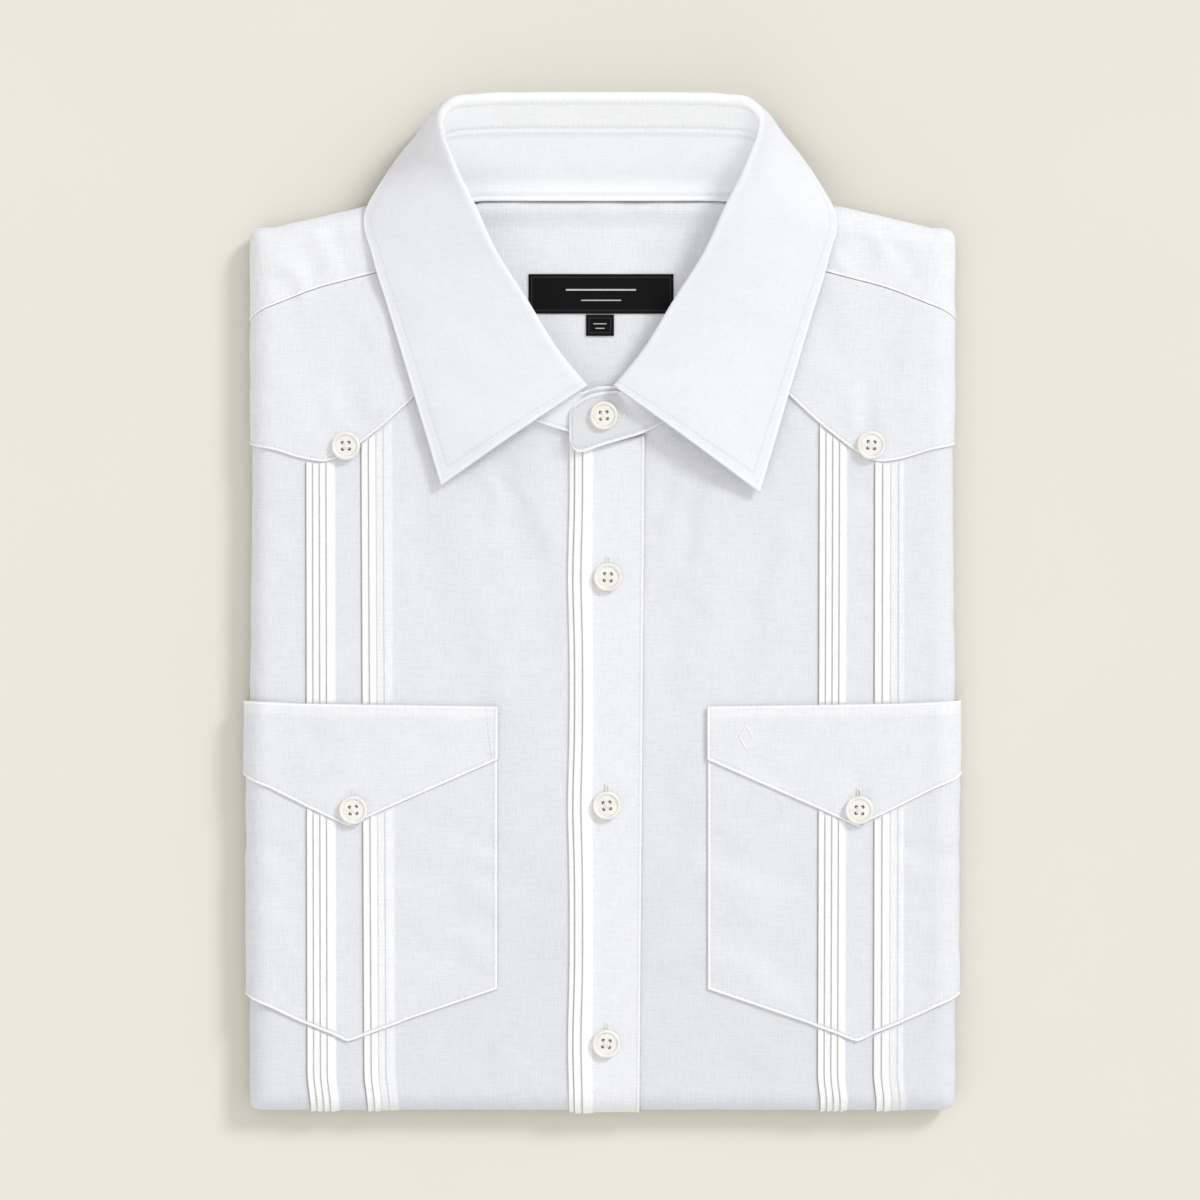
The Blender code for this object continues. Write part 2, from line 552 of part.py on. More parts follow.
def add_collar_stand(rows):
    """The stand, one band from its under end at the left round the back to its over end at the right.
    Its sections go from the neck up to just short of the fall's seam; its ends lie flat on the front."""
    seam, base = rows["seam"], rows["base"]
    top = seam + SEAM_CLEAR * unit(base - seam)
    round_neck = clear_of_courses(section_grid(base, top), 2, COLLAR_WALL)
    under = lay_flat(section_grid(*stand_end(STAND_UNDER_END)), 2)
    over = lay_flat(section_grid(*stand_end(STAND_OVER_END)), 3)
    grid = np.concatenate([under[:, ::-1], round_neck, over], axis=1)
    return wall_from_centre("collar_stand", grid, COLLAR_WALL, WHITE_DOUBLE)


def section_grid(base, top):
    """Straight sections between two edges, as a grid with the base's row first."""
    return np.stack([base + share * (top - base) for share in (0, 0.33, 0.66, 1)], axis=0)


def stand_end(rows):
    """The base and top edges of one end of the stand, still at height 0."""
    flat = np.zeros_like(rows["top_x"])
    return (np.stack([rows["base_x"], rows["base_y"], flat], axis=-1),
            np.stack([rows["top_x"], rows["top_y"], flat], axis=-1))


def lay_flat(points, courses):
    """Points laid on the given number of courses, by half of a collar wall above them."""
    out = courses * COURSE + GAP + 0.62 * COLLAR_WALL
    height = height_over(points[..., 0], points[..., 1], out)
    return np.concatenate([points[..., :2], height[..., None]], axis=-1)


def button_mesh(name):
    """A turned disc with a raised rim and a dish, and four holes cut through it."""
    profile = [(0.78, 0.0), (0.97, 0.22), (1.0, 0.5), (0.95, 0.86), (0.86, 1.0)]
    points, faces = [], []
    rings = [(share * BUTTON_RADIUS, height * BUTTON_HEIGHT) for share, height in profile]
    rings.append((BUTTON_DISH_RADIUS, BUTTON_HEIGHT - BUTTON_DISH_DEPTH))
    turn = np.arange(BUTTON_SIDES) * 2 * np.pi / BUTTON_SIDES
    for radius, height in rings:
        points += [(radius * np.cos(a), radius * np.sin(a), height) for a in turn]
    for level in range(len(rings) - 1):
        for step in range(BUTTON_SIDES):
            following = (step + 1) % BUTTON_SIDES
            low, high = level * BUTTON_SIDES, (level + 1) * BUTTON_SIDES
            faces.append([low + step, low + following, high + following, high + step])
    faces.append(list(range(BUTTON_SIDES))[::-1])
    faces.append([(len(rings) - 1) * BUTTON_SIDES + step for step in range(BUTTON_SIDES)])
    return add_object(name, points, faces, IVORY)


def add_hole_cutter():
    """Four upright pegs in one hidden object, the cutter for every button's holes."""
    pegs = bmesh.new()
    for across in (-1, 1):
        for lengthwise in (-1, 1):
            made = bmesh.ops.create_cone(pegs, cap_ends=True, segments=7, radius1=BUTTON_HOLE_RADIUS,
                                         radius2=BUTTON_HOLE_RADIUS, depth=4 * BUTTON_HEIGHT)
            place = (across * BUTTON_HOLE_OFFSET, lengthwise * BUTTON_HOLE_OFFSET, 0)
            bmesh.ops.translate(pegs, verts=made["verts"], vec=place)
    mesh = bpy.data.meshes.new("button_hole_pegs")
    pegs.to_mesh(mesh)
    pegs.free()
    cutter = bpy.data.objects.new("button_hole_pegs", mesh)
    bpy.context.collection.objects.link(cutter)
    cutter.hide_render = True
    cutter.display_type = "WIRE"
    return cutter


def add_button(name, s, t, below):
    """One button, lying on the cloth below it and tilted with it."""
    seat = below + GAP
    here = Vector(pillow(s, t, seat))
    across = Vector(pillow(s + MM, t, seat)) - Vector(pillow(s - MM, t, seat))
    lengthwise = Vector(pillow(s, t + MM, seat)) - Vector(pillow(s, t - MM, seat))
    normal = across.cross(lengthwise).normalized()
    made = button_mesh(name)
    made.location = here + 0.1 * MM * normal
    made.rotation_euler = normal.to_track_quat("Z", "Y").to_euler()
    cutter = add_hole_cutter()
    cutter.name = name + "_pegs"
    cutter.parent = made
    holes = made.modifiers.new("holes", "BOOLEAN")
    holes.operation = "DIFFERENCE"
    holes.object = cutter
    return made


def build():
    clear_scene()
    add_folded_layers()
    for side, name in ((-1, "left"), (1, "right")):
        add_front(side, "front_" + name)
        add_shoulder_yoke(side, "shoulder_yoke_" + name)
        add_front_yoke(side, "front_yoke_" + name)
        add_pocket(side, "pocket_" + name)
        add_pocket_flap(side, "pocket_flap_" + name)
    add_placket()
    add_inner_back_yoke()
    add_label("neck_label", LABEL, 6)
    add_label("size_tab", SIZE_TAB, 3)
    rows = whole_collar()
    add_collar_stand(rows)
    add_collar_fall(rows)
    for name, (s, t, below) in BUTTONS.items():
        add_button(name, s, t, below)


build()
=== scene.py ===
"""The looks of a guayabera shirt folded flat: its cloth, tucks, seams, stitches, buttons and label.

Every piece of cloth is a thin closed sheet worked out in cloth coordinates, as its solid is: s runs across
from the centre front, t runs along the body, and "out" is the height above the pillow of folded layers.
Past the pillow's flat top, s and t carry on round its edge.  The collar is lofted round the neck.
"""

import bpy
import numpy as np
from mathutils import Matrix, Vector


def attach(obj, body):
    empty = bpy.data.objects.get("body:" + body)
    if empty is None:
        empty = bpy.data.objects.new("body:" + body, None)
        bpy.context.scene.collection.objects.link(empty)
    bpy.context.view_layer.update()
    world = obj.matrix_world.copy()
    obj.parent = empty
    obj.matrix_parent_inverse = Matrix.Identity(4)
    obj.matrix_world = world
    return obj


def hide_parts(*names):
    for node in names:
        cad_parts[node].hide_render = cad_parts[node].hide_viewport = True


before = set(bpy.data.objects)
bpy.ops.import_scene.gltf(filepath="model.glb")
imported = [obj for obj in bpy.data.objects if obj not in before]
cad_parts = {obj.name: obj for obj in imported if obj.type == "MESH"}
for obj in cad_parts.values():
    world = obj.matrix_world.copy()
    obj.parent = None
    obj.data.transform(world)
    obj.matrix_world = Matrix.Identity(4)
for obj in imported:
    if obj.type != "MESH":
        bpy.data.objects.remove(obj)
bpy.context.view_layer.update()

MM = 0.001

# The pillow of hidden layers, as in the solids
EDGE_RADIUS = 7.5 * MM
CROWN = 2.0 * MM
SIDE_OUTLINE = 139.4 * MM
HIP_SPREAD = 1.0 * MM
HIP_SPREAD_FROM = 60.0 * MM
HIP_SPREAD_RUN = 120.0 * MM
HEM_OUTLINE = -201.0 * MM
SHOULDER_OUTLINE = 158.2 * MM
SHOULDER_SLOPE = 0.233
SHOULDER_POINT = 95.0 * MM
NECK_REACH = 7.0 * MM
NECK_REACH_HALF = 76.0 * MM
SIDE_FLAT = SIDE_OUTLINE - EDGE_RADIUS
HEM_FLAT = HEM_OUTLINE + EDGE_RADIUS
WRAP_LIMIT = np.radians(127)
WRAP_END = np.radians(118)          # the cloth's way round the edge
HEM_WRAPPED = HEM_FLAT - EDGE_RADIUS * WRAP_END

# The neck oval, lifted by the collar
NECK_CENTRE = 118.0 * MM
NECK_HALF_WIDTH = 70.0 * MM
NECK_HALF_LENGTH = 46.0 * MM
NECK_LIFT = 1.8 * MM
NECK_LIFT_RUN = 24.0 * MM

# Heights above the pillow, of the upper faces
FRONT_OUT = 1.15 * MM
SECOND_OUT = 2.1 * MM               # yokes, pockets and placket, which lie on the fronts
SHOULDER_OUT = SECOND_OUT + 0.12 * MM
FLAP_OUT = 2.95 * MM
LABEL_OUT = 1.9 * MM
SINGLE_WALL = 0.45 * MM
DOUBLE_WALL = 0.6 * MM
COLLAR_WALL = 1.0 * MM
TUCK_HEIGHT = 0.8 * MM
NECK_RISE = 0.9 * MM                # of the fronts, to the seam at the stand's foot
RIM_ROUND = 0.45 * MM
BEAD_WIDTH = 1.2 * MM               # a turned edge, from the edge to its stitches
BEAD_HEIGHT = 0.3 * MM
YOKE_BEAD_WIDTH = 1.1 * MM
NO_GROOVE = 30.0 * MM               # farther from an edge than any of its sheet
FOLD_SHADE_WIDTH = 0.26 * MM        # the dark inside a fold that light does not reach
FOLD_SHADE = 0.58
RELIEF_LIMIT = 0.85 * MM
CREASE_DEPTH = 2.9                  # how far the creases in the table below are pressed in
CREASE_WANDER = 2.2 * MM
UNEVENNESS = 0.07 * MM
PUCKER_HEIGHT = 0.16 * MM

# The front opening
PLACKET_LEFT = -13.6 * MM
PLACKET_RIGHT = 16.1 * MM
PLACKET_FOLDS = (-11.3 * MM, -8.1 * MM, -4.0 * MM)
PLACKET_TUCK_HEIGHT = 0.6 * MM
YOKE_FROM = 71.0 * MM               # the yokes start here, hidden by the collar
YOKE_BEAD_HEIGHT = 0.22 * MM
POCKET_INNER_EDGE = 42.0 * MM
FLAP_INNER_EDGE = POCKET_INNER_EDGE - 0.25 * MM

# Collar
COLLAR_CENTRE = -0.8 * MM
ROLL_RADIUS = 1.9 * MM
SEAM_LAP = 0.7 * MM                 # the fall is sewn over the stand by this much
TIP_DIFFERENCE = 1.4 * MM
TOPSTITCH_INSET = 3.4 * MM
INNER_STITCH_INSET = 7.6 * MM       # from the fall's seam, inside the roll
SEAM_STITCH_INSET = 1.0 * MM
END_SLANT = 0.93                    # of the fall's ends: distance from the edge for each step along the run
TIP_LIFT = 2.1 * MM
FOOT_DROP = 1.6 * MM                # the stand's foot is drawn down to the cloth that it is sewn to
UNDER_END_OUT = SECOND_OUT + 1.0 * MM  # the stand's two ends, which lap over each other
OVER_END_OUT = SECOND_OUT + 2.3 * MM
TAB_STITCH_INSET = 2.8 * MM

# Buttons and stitches
BUTTON_HEIGHT = 2.4 * MM
BUTTON_OFF_CLOTH = 0.22 * MM
HOLE_TURNS = np.radians([45, 135, 225, 315])
HOLE_REACH = 1.32 * MM * np.sqrt(2)  # of the holes from the middle
HOLE_RADIUS = 0.62 * MM
HOLE_DEPTH = 1.2 * MM
THREAD_SIDES = 5
SEAM_STITCH = (2.4 * MM, 1.75 * MM, 0.15 * MM)               # pitch, length and radius
COLLAR_STITCH = (2.3 * MM, 1.7 * MM, 0.17 * MM)
TUCK_STITCH = (1.9 * MM, 1.3 * MM, 0.1 * MM)
BUTTON_STRANDS = (-0.16 * MM, 0.16 * MM)                     # the two strands' places beside each other
BUTTON_STRAND_RADIUS = 0.17 * MM
SLIT_STITCH_PITCH = 0.42 * MM                                # of a buttonhole
SLIT_STITCH_OFFSET = 0.62 * MM
SLIT_STITCH_LENGTH = 1.05 * MM
SLIT_STITCH_RADIUS = 0.2 * MM
SLIT_BAR_PITCH = 0.35 * MM
SLIT_BAR_LENGTH = 2.3 * MM

# Distances of a grid's rows from a free edge, and of its columns from a tuck's fold or a sewn ditch
EDGE_STEPS = np.array([0, 0.05, 0.15, 0.3, 0.5, 0.8, 1.1, 1.35, 1.6, 2.0, 2.6]) * MM
FOLD_STEPS = np.array([-0.5, -0.32, -0.14, 0.0, 0.14, 0.4, 1.0]) * MM
PLACKET_FOLD_STEPS = np.array([-0.5, -0.3, -0.14, 0.0, 0.14, 0.4, 1.0]) * MM
DITCH_STEPS = np.array([-0.7, -0.35, -0.15, 0, 0.15, 0.35, 0.7]) * MM

# Colours: cotton is cool where it lies thin over the dark inside, and whiter where it lies thick
SINGLE_THIN, SINGLE_THICK = (0.76, 0.773, 0.828), (0.988, 0.99, 1.0)
COLLAR_THIN, COLLAR_THICK = (0.82, 0.832, 0.89), (0.965, 0.978, 1.0)
THREAD_COLOURS = (0.84, 0.84, 0.85, 1), (0.95, 0.95, 0.955, 1)
IVORY_COLOURS = (0.82, 0.80, 0.75, 1), (0.905, 0.89, 0.85, 1)
# The second colour is a painted tan shade for the buttons' holes and the groove round the dish
IVORY_STREAK, IVORY_HOLE_SHADE = (0.9, 0.885, 0.85, 1), (0.34, 0.28, 0.205, 1)
LABEL_BLACKS = (0.003, 0.003, 0.0033, 1), (0.008, 0.008, 0.0085, 1)
LABEL_PALE = (0.62, 0.62, 0.61, 1)
FLOOR_COLOURS = (0.758, 0.729, 0.658, 1), (0.790, 0.761, 0.691, 1)
FLOOR_HALF = 2.5
FLOOR_GAP = 0.0002


def table(names, *rows):
    """Named columns of a short table written in millimetres."""
    columns = np.array(rows, float).T * MM
    return dict(zip(names.split(), columns))


def columns_of(rows, *names):
    """Some of a table's columns, side by side."""
    return np.stack([rows[name] for name in names], axis=-1)


# Edges along the cloth: each gives t for the distance from the centre line
SHOULDER_SEAM = table("s t", (71, 138.5), (90, 133.4), (114, 127.2), (128, 121.8), (137, 118), (141.5, 114.2),
                      (160, 112))
YOKE_EDGE = table("s t", (60, 98), (74.6, 84), (87, 72.6), (100, 62.4), (108.6, 57.6), (114, 57.6),
                  (122, 59.2), (131, 62.2), (142, 64.6), (160, 66))
FRONT_TOP = table("s t", (0, 66.5), (14, 69.5), (27, 73.4), (44, 87.6), (55, 99), (62, 104), (68, 103),
                  (74.6, 96), (87, 85), (100, 75), (114, 71), (131, 75), (160, 78))
NECK_BACK = table("s t", (0, 161), (48, 160.8), (54, 159), (60, 155.5), (66, 148), (69, 138))
NECK_FRONT = table("s t", (0, 68.5), (14, 71.5), (27, 75.8), (44, 90), (55, 101.5), (62, 111), (67, 125),
                   (69, 134))
POCKET_TOP = table("s t", (41.6, -40.3), (95, -39.6), (120, -39.2), (143, -38), (160, -37.6))
FLAP_EDGE = table("s t", (41.6, -61.5), (84, -80.2), (95, -85.2), (101.4, -88.2), (107.5, -85.6),
                  (119, -80.2), (142, -67.6), (160, -65))
POCKET_EDGE = table("s t", (41.6, -153.2), (85, -168), (95, -171.6), (102, -174.6), (109, -171.4),
                    (120, -167), (141, -156), (160, -153))

# Groups of tucks: the first fold's s at the yoke, its move towards the hem, the pitch, and the last width
TUCK_GROUPS = table("first move pitch last", (-118.6, 0.5, 2.7, 3.8), (-96.5, 1.2, 2.95, 4.0),
                    (86.8, -0.8, 2.7, 3.2), (109.0, -0.6, 3.2, 2.6))
TUCKS_IN_GROUP = 4
HEM_FLARE = 1.2 * MM                # the folds swing over by this much where they turn under at the hem
FLARE_RUN = 14.0 * MM

# Half of the collar, from the centre back to the front end, as in the solids
COLLAR = table(
    "roll_x roll_y roll_z seam_x seam_y seam_z base_x base_y base_z edge_x edge_y edge_z",
    (0, 203.0, 37.5, 0, 189.9, 30.2, 0, 161.9, 17.2, 0, 200.6, 5.0),
    (29, 202.9, 37.5, 29, 189.9, 30.2, 27, 161.9, 17.2, 29, 200.5, 5.0),
    (48.8, 202.3, 37.4, 48.7, 189.5, 30.3, 42.2, 161.9, 17.2, 49.8, 199.8, 5.0),
    (59.4, 200.5, 37.2, 58.5, 188.7, 30.4, 48.6, 161.7, 17.3, 62.8, 197.9, 5.2),
    (63.6, 195.6, 36.8, 61.8, 187.4, 30.4, 54.6, 161.0, 17.5, 69.4, 193.6, 5.6),
    (63.3, 188.9, 36.4, 62.6, 182.8, 29.8, 61.2, 158.0, 18.0, 74.4, 187.7, 6.6),
    (60.7, 181.6, 35.8, 61.0, 176.0, 29.0, 67.0, 151.4, 18.8, 80.2, 180.6, 8.6),
    (56.6, 172.0, 34.8, 59.0, 167.0, 28.0, 71.0, 142.4, 20.0, 87.4, 169.8, 12.6),
    (51.0, 161.2, 33.4, 56.4, 156.8, 27.0, 72.4, 131.4, 20.8, 94.0, 157.6, 16.2),
    (41.5, 141.0, 31.2, 48.4, 136.2, 25.4, 68.6, 116.4, 21.2, 91.4, 139.8, 19.0),
    (28.7, 120.7, 29.2, 35.6, 115.5, 24.2, 58.6, 103.4, 21.6, 84.0, 115.1, 19.6),
    (16.8, 101.6, 27.6, 22.8, 96.8, 23.6, 43.4, 88.2, 21.6, 75.2, 85.4, 19.4),
    (5.4, 87.6, 27.1, 8.4, 85.2, 24.4, 27.0, 74.6, 21.6, 63.7, 46.4, 19.0),
)
STAND_UNDER_END = table("top_x top_y base_x base_y", (-5.6, 86.4, -13.6, 69.6), (-1.5, 87.6, -2.0, 67.4),
                        (4.0, 87.9, 5.0, 68.0), (9.0, 87.6, 10.0, 69.5))
STAND_OVER_END = table("top_x top_y base_x base_y", (5.5, 86.0, 16.6, 69.2), (0.5, 85.6, 7.8, 66.4),
                       (-4.2, 84.6, -1.5, 63.6), (-8.6, 82.4, -8.2, 61.4), (-11.8, 79.6, -11.2, 62.2),
                       (-13.4, 76.6, -13.3, 66.5))

# Up the edge of the folded layers, from the surface that they lie on
RIM_PROFILE = table("inset height", (6.5, 0.02), (4.6, 0.0), (3.4, 0.0), (2.6, 0.25), (2.1, 0.7), (2.1, 1.2),
                    (2.7, 1.7), (3.8, 1.95), (4.3, 2.1), (3.6, 2.25), (2.4, 2.55), (1.8, 3.1), (1.8, 3.7),
                    (2.4, 4.15), (3.3, 4.4), (2.3, 4.7), (1.5, 5.2), (1.15, 5.9))

# Soft creases pressed in by the folding: two ends in plan, half width, and height, a trough where negative
CREASES = table(
    "x0 y0 x1 y1 width height",
    # shoulders
    (-133, 131, -125, 123.6, 3.5, -0.35), (-108, 148, -101.4, 137, 3.2, -0.4),
    (-114, 146, -107.4, 135, 3.4, 0.3), (-121, 142, -116.2, 132.4, 3.0, -0.25),
    (-100, 144.4, -95, 139.2, 2.6, -0.35), (-129, 138, -121, 128.4, 3.2, 0.25),
    (100.6, 142.4, 108.2, 138.8, 3.0, -0.28), (119, 144, 125, 136, 3.4, -0.22),
    (111, 143, 118, 133, 4.0, 0.2), (93, 140, 98, 133, 3.0, 0.2),
    # yokes
    (-103.4, 95, -100.2, 75, 5.0, -0.35), (-92.6, 78.8, -84.2, 87.2, 4.5, 0.38),
    (-98.6, 72.8, -91.4, 77.6, 2.0, -0.35), (-110.6, 74.4, -105.8, 84.4, 3.6, 0.25),
    (-121, 110.4, -103, 104.4, 8.0, -0.3), (-114, 77, -109, 70.4, 2.4, -0.22),
    (-95, 120, -88, 104, 6.0, 0.22), (-130, 92, -124, 80, 6.0, 0.2), (106.2, 86, 107.8, 72.4, 3.0, -0.32),
    (97.4, 82.4, 101, 72.4, 3.4, 0.27), (115.4, 114.4, 111, 94.4, 7.0, -0.25),
    (125, 106.4, 121, 82.4, 6.0, 0.2), (85, 122.4, 93, 102.4, 6.0, -0.2), (113, 76, 119, 84, 3.4, 0.22),
    (99.8, 53.6, 108.2, 40.8, 3.0, -0.25),
    # fronts, below the collar
    (-39.8, 55.2, -30.6, 22.4, 4.5, -0.38), (-21.4, 62.4, -15.8, 45.6, 2.5, -0.42),
    (-29, 50.4, -19.8, 24.4, 4.2, 0.32), (-30.6, 22.4, -19.8, -17.6, 7.0, -0.26),
    (-59, 38.4, -51, -5.6, 9.0, 0.26), (-73, 42.4, -65, 2.4, 8.0, -0.22),
    (-46.2, 54.4, -41, 34.4, 4.0, 0.24), (-36, 5, -42, -30, 8.0, 0.2), (-58, -18, -48, -60, 9.0, -0.2),
    (-27, -58, -33, -100, 8.0, 0.2), (-24, -110, -34, -150, 7.0, -0.2), (-41, -183, -30, -188, 5.0, 0.26),
    (-60, -176, -46, -180, 5.0, -0.2), (38.2, 48, 33.4, 18.8, 4.5, -0.32),
    (28.2, 55.2, 21.4, 34.4, 3.5, -0.28), (43.8, 42.4, 41, 6.4, 7.0, 0.26),
    (23, 2.4, 27.8, -33.6, 7.0, -0.22), (63, 26.4, 57, -13.6, 9.0, -0.22), (72, 30, 70, 0, 7.0, 0.2),
    (24, -60, 31, -96, 7.0, -0.2), (34, -100, 25, -140, 8.0, 0.2), (19, -161.6, 27, -150, 5.0, -0.24),
    (60, -178, 84, -184, 6.0, 0.2),
    # left pocket
    (-117, -52, -97, -60.4, 5.0, -0.26), (-78.6, -50.4, -69, -52.8, 5.0, -0.22),
    (-84.2, -69.6, -78, -66, 5.0, 0.22), (-140.2, -95.2, -130.2, -96.8, 3.5, -0.35),
    (-140.2, -102.4, -132.2, -109.6, 5.0, 0.35), (-80.2, -85.2, -67, -85.2, 4.0, -0.22),
    (-57, -93.6, -45.2, -96, 3.2, -0.32), (-55, -100, -45, -102.4, 4.0, 0.26),
    (-82.2, -108.8, -57, -102.4, 4.5, -0.26), (-53, -112.8, -44, -117.6, 5.0, 0.32),
    (-57, -128.4, -46, -126.8, 3.5, -0.32), (-82.2, -133.6, -60.2, -140.4, 6.0, -0.3),
    (-53, -137.6, -45, -143.6, 5.0, 0.28), (-130, -126, -123, -150, 6.0, 0.22),
    (-102, -100, -101, -130, 5.0, -0.2),
    # right pocket
    (45.8, -98.4, 77.4, -108.4, 6.0, -0.38), (45.4, -111.6, 63, -120.8, 6.0, 0.38),
    (47.8, -129.6, 79, -144.8, 6.5, -0.38), (45.4, -142.4, 71.8, -155.6, 5.0, 0.3),
    (122.2, -95.2, 140.6, -103.6, 3.5, -0.38), (121, -104.8, 139, -111.6, 5.0, 0.32),
    (125.8, -140.4, 135.8, -143.6, 5.0, -0.26), (61.8, -63.6, 69, -67.6, 4.0, -0.22),
    (102.2, -69.6, 103, -75.6, 3.5, -0.26), (98, -58, 120, -56, 6.0, 0.2),
    (126, -58, 134, -52, 4.0, -0.2),
)

BUTTONS = {  # s, t and the height of the cloth that each lies on, above the pillow
    "neck_button": (0.5 * MM, 76.0 * MM, 4.35 * MM),
    "placket_button_1": (2.1 * MM, 11.5 * MM, SECOND_OUT),
    "placket_button_2": (1.7 * MM, -79.8 * MM, SECOND_OUT),
    "placket_button_3": (1.5 * MM, -175.0 * MM, SECOND_OUT),
    "yoke_button_left": (-102.6 * MM, 64.0 * MM, SECOND_OUT),
    "yoke_button_right": (107.4 * MM, 64.3 * MM, SECOND_OUT),
    "pocket_button_left": (-99.6 * MM, -81.6 * MM, FLAP_OUT),
    "pocket_button_right": (102.6 * MM, -81.6 * MM, FLAP_OUT),
}
BUTTON_RIM = table("radius height", (4.1, 1.72), (4.22, 1.76), (4.36, 1.98), (4.52, 2.2), (4.75, 2.35),
                   (5.0, 2.4), (5.25, 2.34), (5.45, 2.2), (5.58, 1.98), (5.65, 1.6), (5.62, 1.15), (5.5, 0.7),
                   (5.2, 0.3), (4.7, 0.08), (4.0, 0.0), (2.0, 0.0), (0.8, 0.0))
BUTTON_TURNS = np.radians([4, -3, 6, -5, 2, -4, 5, -2])
PLACKET_BUTTONS = [place for key, place in BUTTONS.items() if key.startswith("placket")]

# Labels: left, right, low and high, and the height, half length and half thickness of each woven rule
LABEL = (-29.6 * MM, 28.4 * MM, 116.9 * MM, 132.8 * MM)
LABEL_RULES = (1.6 * MM, 14 * MM, 0.3 * MM), (-2.6 * MM, 8 * MM, 0.2 * MM)
SIZE_TAB = (-6.6 * MM, 4.6 * MM, 108.0 * MM, 116.5 * MM)
TAB_RULES = (0.6 * MM, 2.6 * MM, 0.16 * MM), (-1.2 * MM, 1.8 * MM, 0.16 * MM)
LABEL_WALL = 0.35 * MM
LABEL_BORDER_INSET = 1.3 * MM


# ---------------------------------------------------------------- the pillow, as in the solids

def along(curve, s):
    """t of a tabulated edge at |s|."""
    return np.interp(np.abs(s), curve["s"], curve["t"])


def smooth_step(value):
    """0 below 0, 1 above 1, and a soft S between."""
    value = np.clip(value, 0, 1)
    return value * value * (3 - 2 * value)


def bell(value, width):
    """1 at 0, falling off evenly to both sides."""
    return np.exp(-(value / width) ** 2)


def hip_spread(t):
    """Extra half width of the pillow at t."""
    return HIP_SPREAD * smooth_step((HIP_SPREAD_FROM - t) / HIP_SPREAD_RUN)


def top_flat(side):
    """t where the flat top ends at the collar end, at a distance from the centre line."""
    line = SHOULDER_OUTLINE - EDGE_RADIUS - SHOULDER_SLOPE * np.maximum(side - SHOULDER_POINT, 0)
    return line + NECK_REACH * smooth_step((NECK_REACH_HALF + 12 * MM - side) / (12 * MM))


def half_thickness(side, t):
    """Half the pillow's thickness: a soft crown that dies out at the edges."""
    middle = 0.5 * (SHOULDER_OUTLINE + HEM_OUTLINE)
    reach = 0.5 * (SHOULDER_OUTLINE - HEM_OUTLINE) - EDGE_RADIUS
    across = np.clip(1 - (side / SIDE_FLAT) ** 2, 0, 1)
    lengthwise = np.clip(1 - ((t - middle) / reach) ** 2, 0, 1)
    return EDGE_RADIUS + 0.5 * CROWN * across * lengthwise


def neck_lift(x, y):
    """The collar lifts the cloth around the neck oval by this much."""
    radial = np.hypot(x / NECK_HALF_WIDTH, (y - NECK_CENTRE) / NECK_HALF_LENGTH)
    distance = np.maximum(radial - 1, 0) * 0.5 * (NECK_HALF_WIDTH + NECK_HALF_LENGTH)
    return NECK_LIFT * bell(distance, NECK_LIFT_RUN)


def pillow(s, t, out, lifted=True):
    """Points at cloth coordinates s, t and height out.  Past the flat top the distance to go becomes an
    angle round the edge; in a corner the two distances add as fourth powers, for a small round."""
    s, t, out = np.broadcast_arrays(np.asarray(s, float), np.asarray(t, float), np.asarray(out, float))
    side, spread = np.abs(s), hip_spread(t)
    side = side + spread * smooth_step((side - 0.9 * SIDE_FLAT) / (0.1 * SIDE_FLAT))
    flat = SIDE_FLAT + spread
    top = top_flat(np.minimum(side, flat))
    beyond_side = np.maximum(side - flat, 0)
    beyond_end = np.maximum(t - top, 0) - np.maximum(HEM_FLAT - t, 0)
    beyond = (beyond_side ** 4 + beyond_end ** 4) ** 0.25
    angle = np.minimum(beyond / EDGE_RADIUS, WRAP_LIMIT)
    share = 1 / np.where(beyond > 0, beyond, 1)
    reach = (EDGE_RADIUS + out) * np.sin(angle)
    half = half_thickness(side, t)
    x = np.sign(s) * (np.minimum(side, flat) + reach * beyond_side * share)
    y = np.clip(t, HEM_FLAT, top) + reach * beyond_end * share
    z = half + (half + out) * np.cos(angle)
    if lifted:
        z = z + neck_lift(x, y)
    return np.stack([x, y, z], axis=-1)


def height_over(x, y, out):
    """Height of the course at distance out above the pillow, seen from above; 0 beside the pillow."""
    side, spread = np.abs(x), hip_spread(y)
    beyond_side = np.maximum(side - SIDE_FLAT - spread, 0)
    top = top_flat(np.minimum(side, SIDE_FLAT + spread))
    beyond_end = np.maximum(y - top, 0) + np.maximum(HEM_FLAT - y, 0)
    reach = (beyond_side ** 4 + beyond_end ** 4) ** 0.25 / (EDGE_RADIUS + out)
    half = half_thickness(side, y)
    height = half + (half + out) * np.sqrt(np.clip(1 - reach ** 2, 0, 1)) + neck_lift(x, y)
    return np.where(reach < 1, height, 0)


# ---------------------------------------------------------------- soft relief of the cloth

def undulation(s, t, seed, scale, waves=14):
    """A gentle unevenness between about -1 and 1: a sum of waves in seeded directions, whose lengths
    spread round the given scale."""
    random = np.random.default_rng(seed)
    total = np.zeros(np.broadcast(s, t).shape)
    for turn, length, phase in random.random((waves, 3)):
        angle, wave = np.pi * turn, 2 * np.pi / (scale * (0.6 + 1.2 * length))
        total = total + np.sin(wave * (s * np.cos(angle) + t * np.sin(angle)) + 2 * np.pi * phase)
    return total / np.sqrt(0.5 * waves) / 1.6


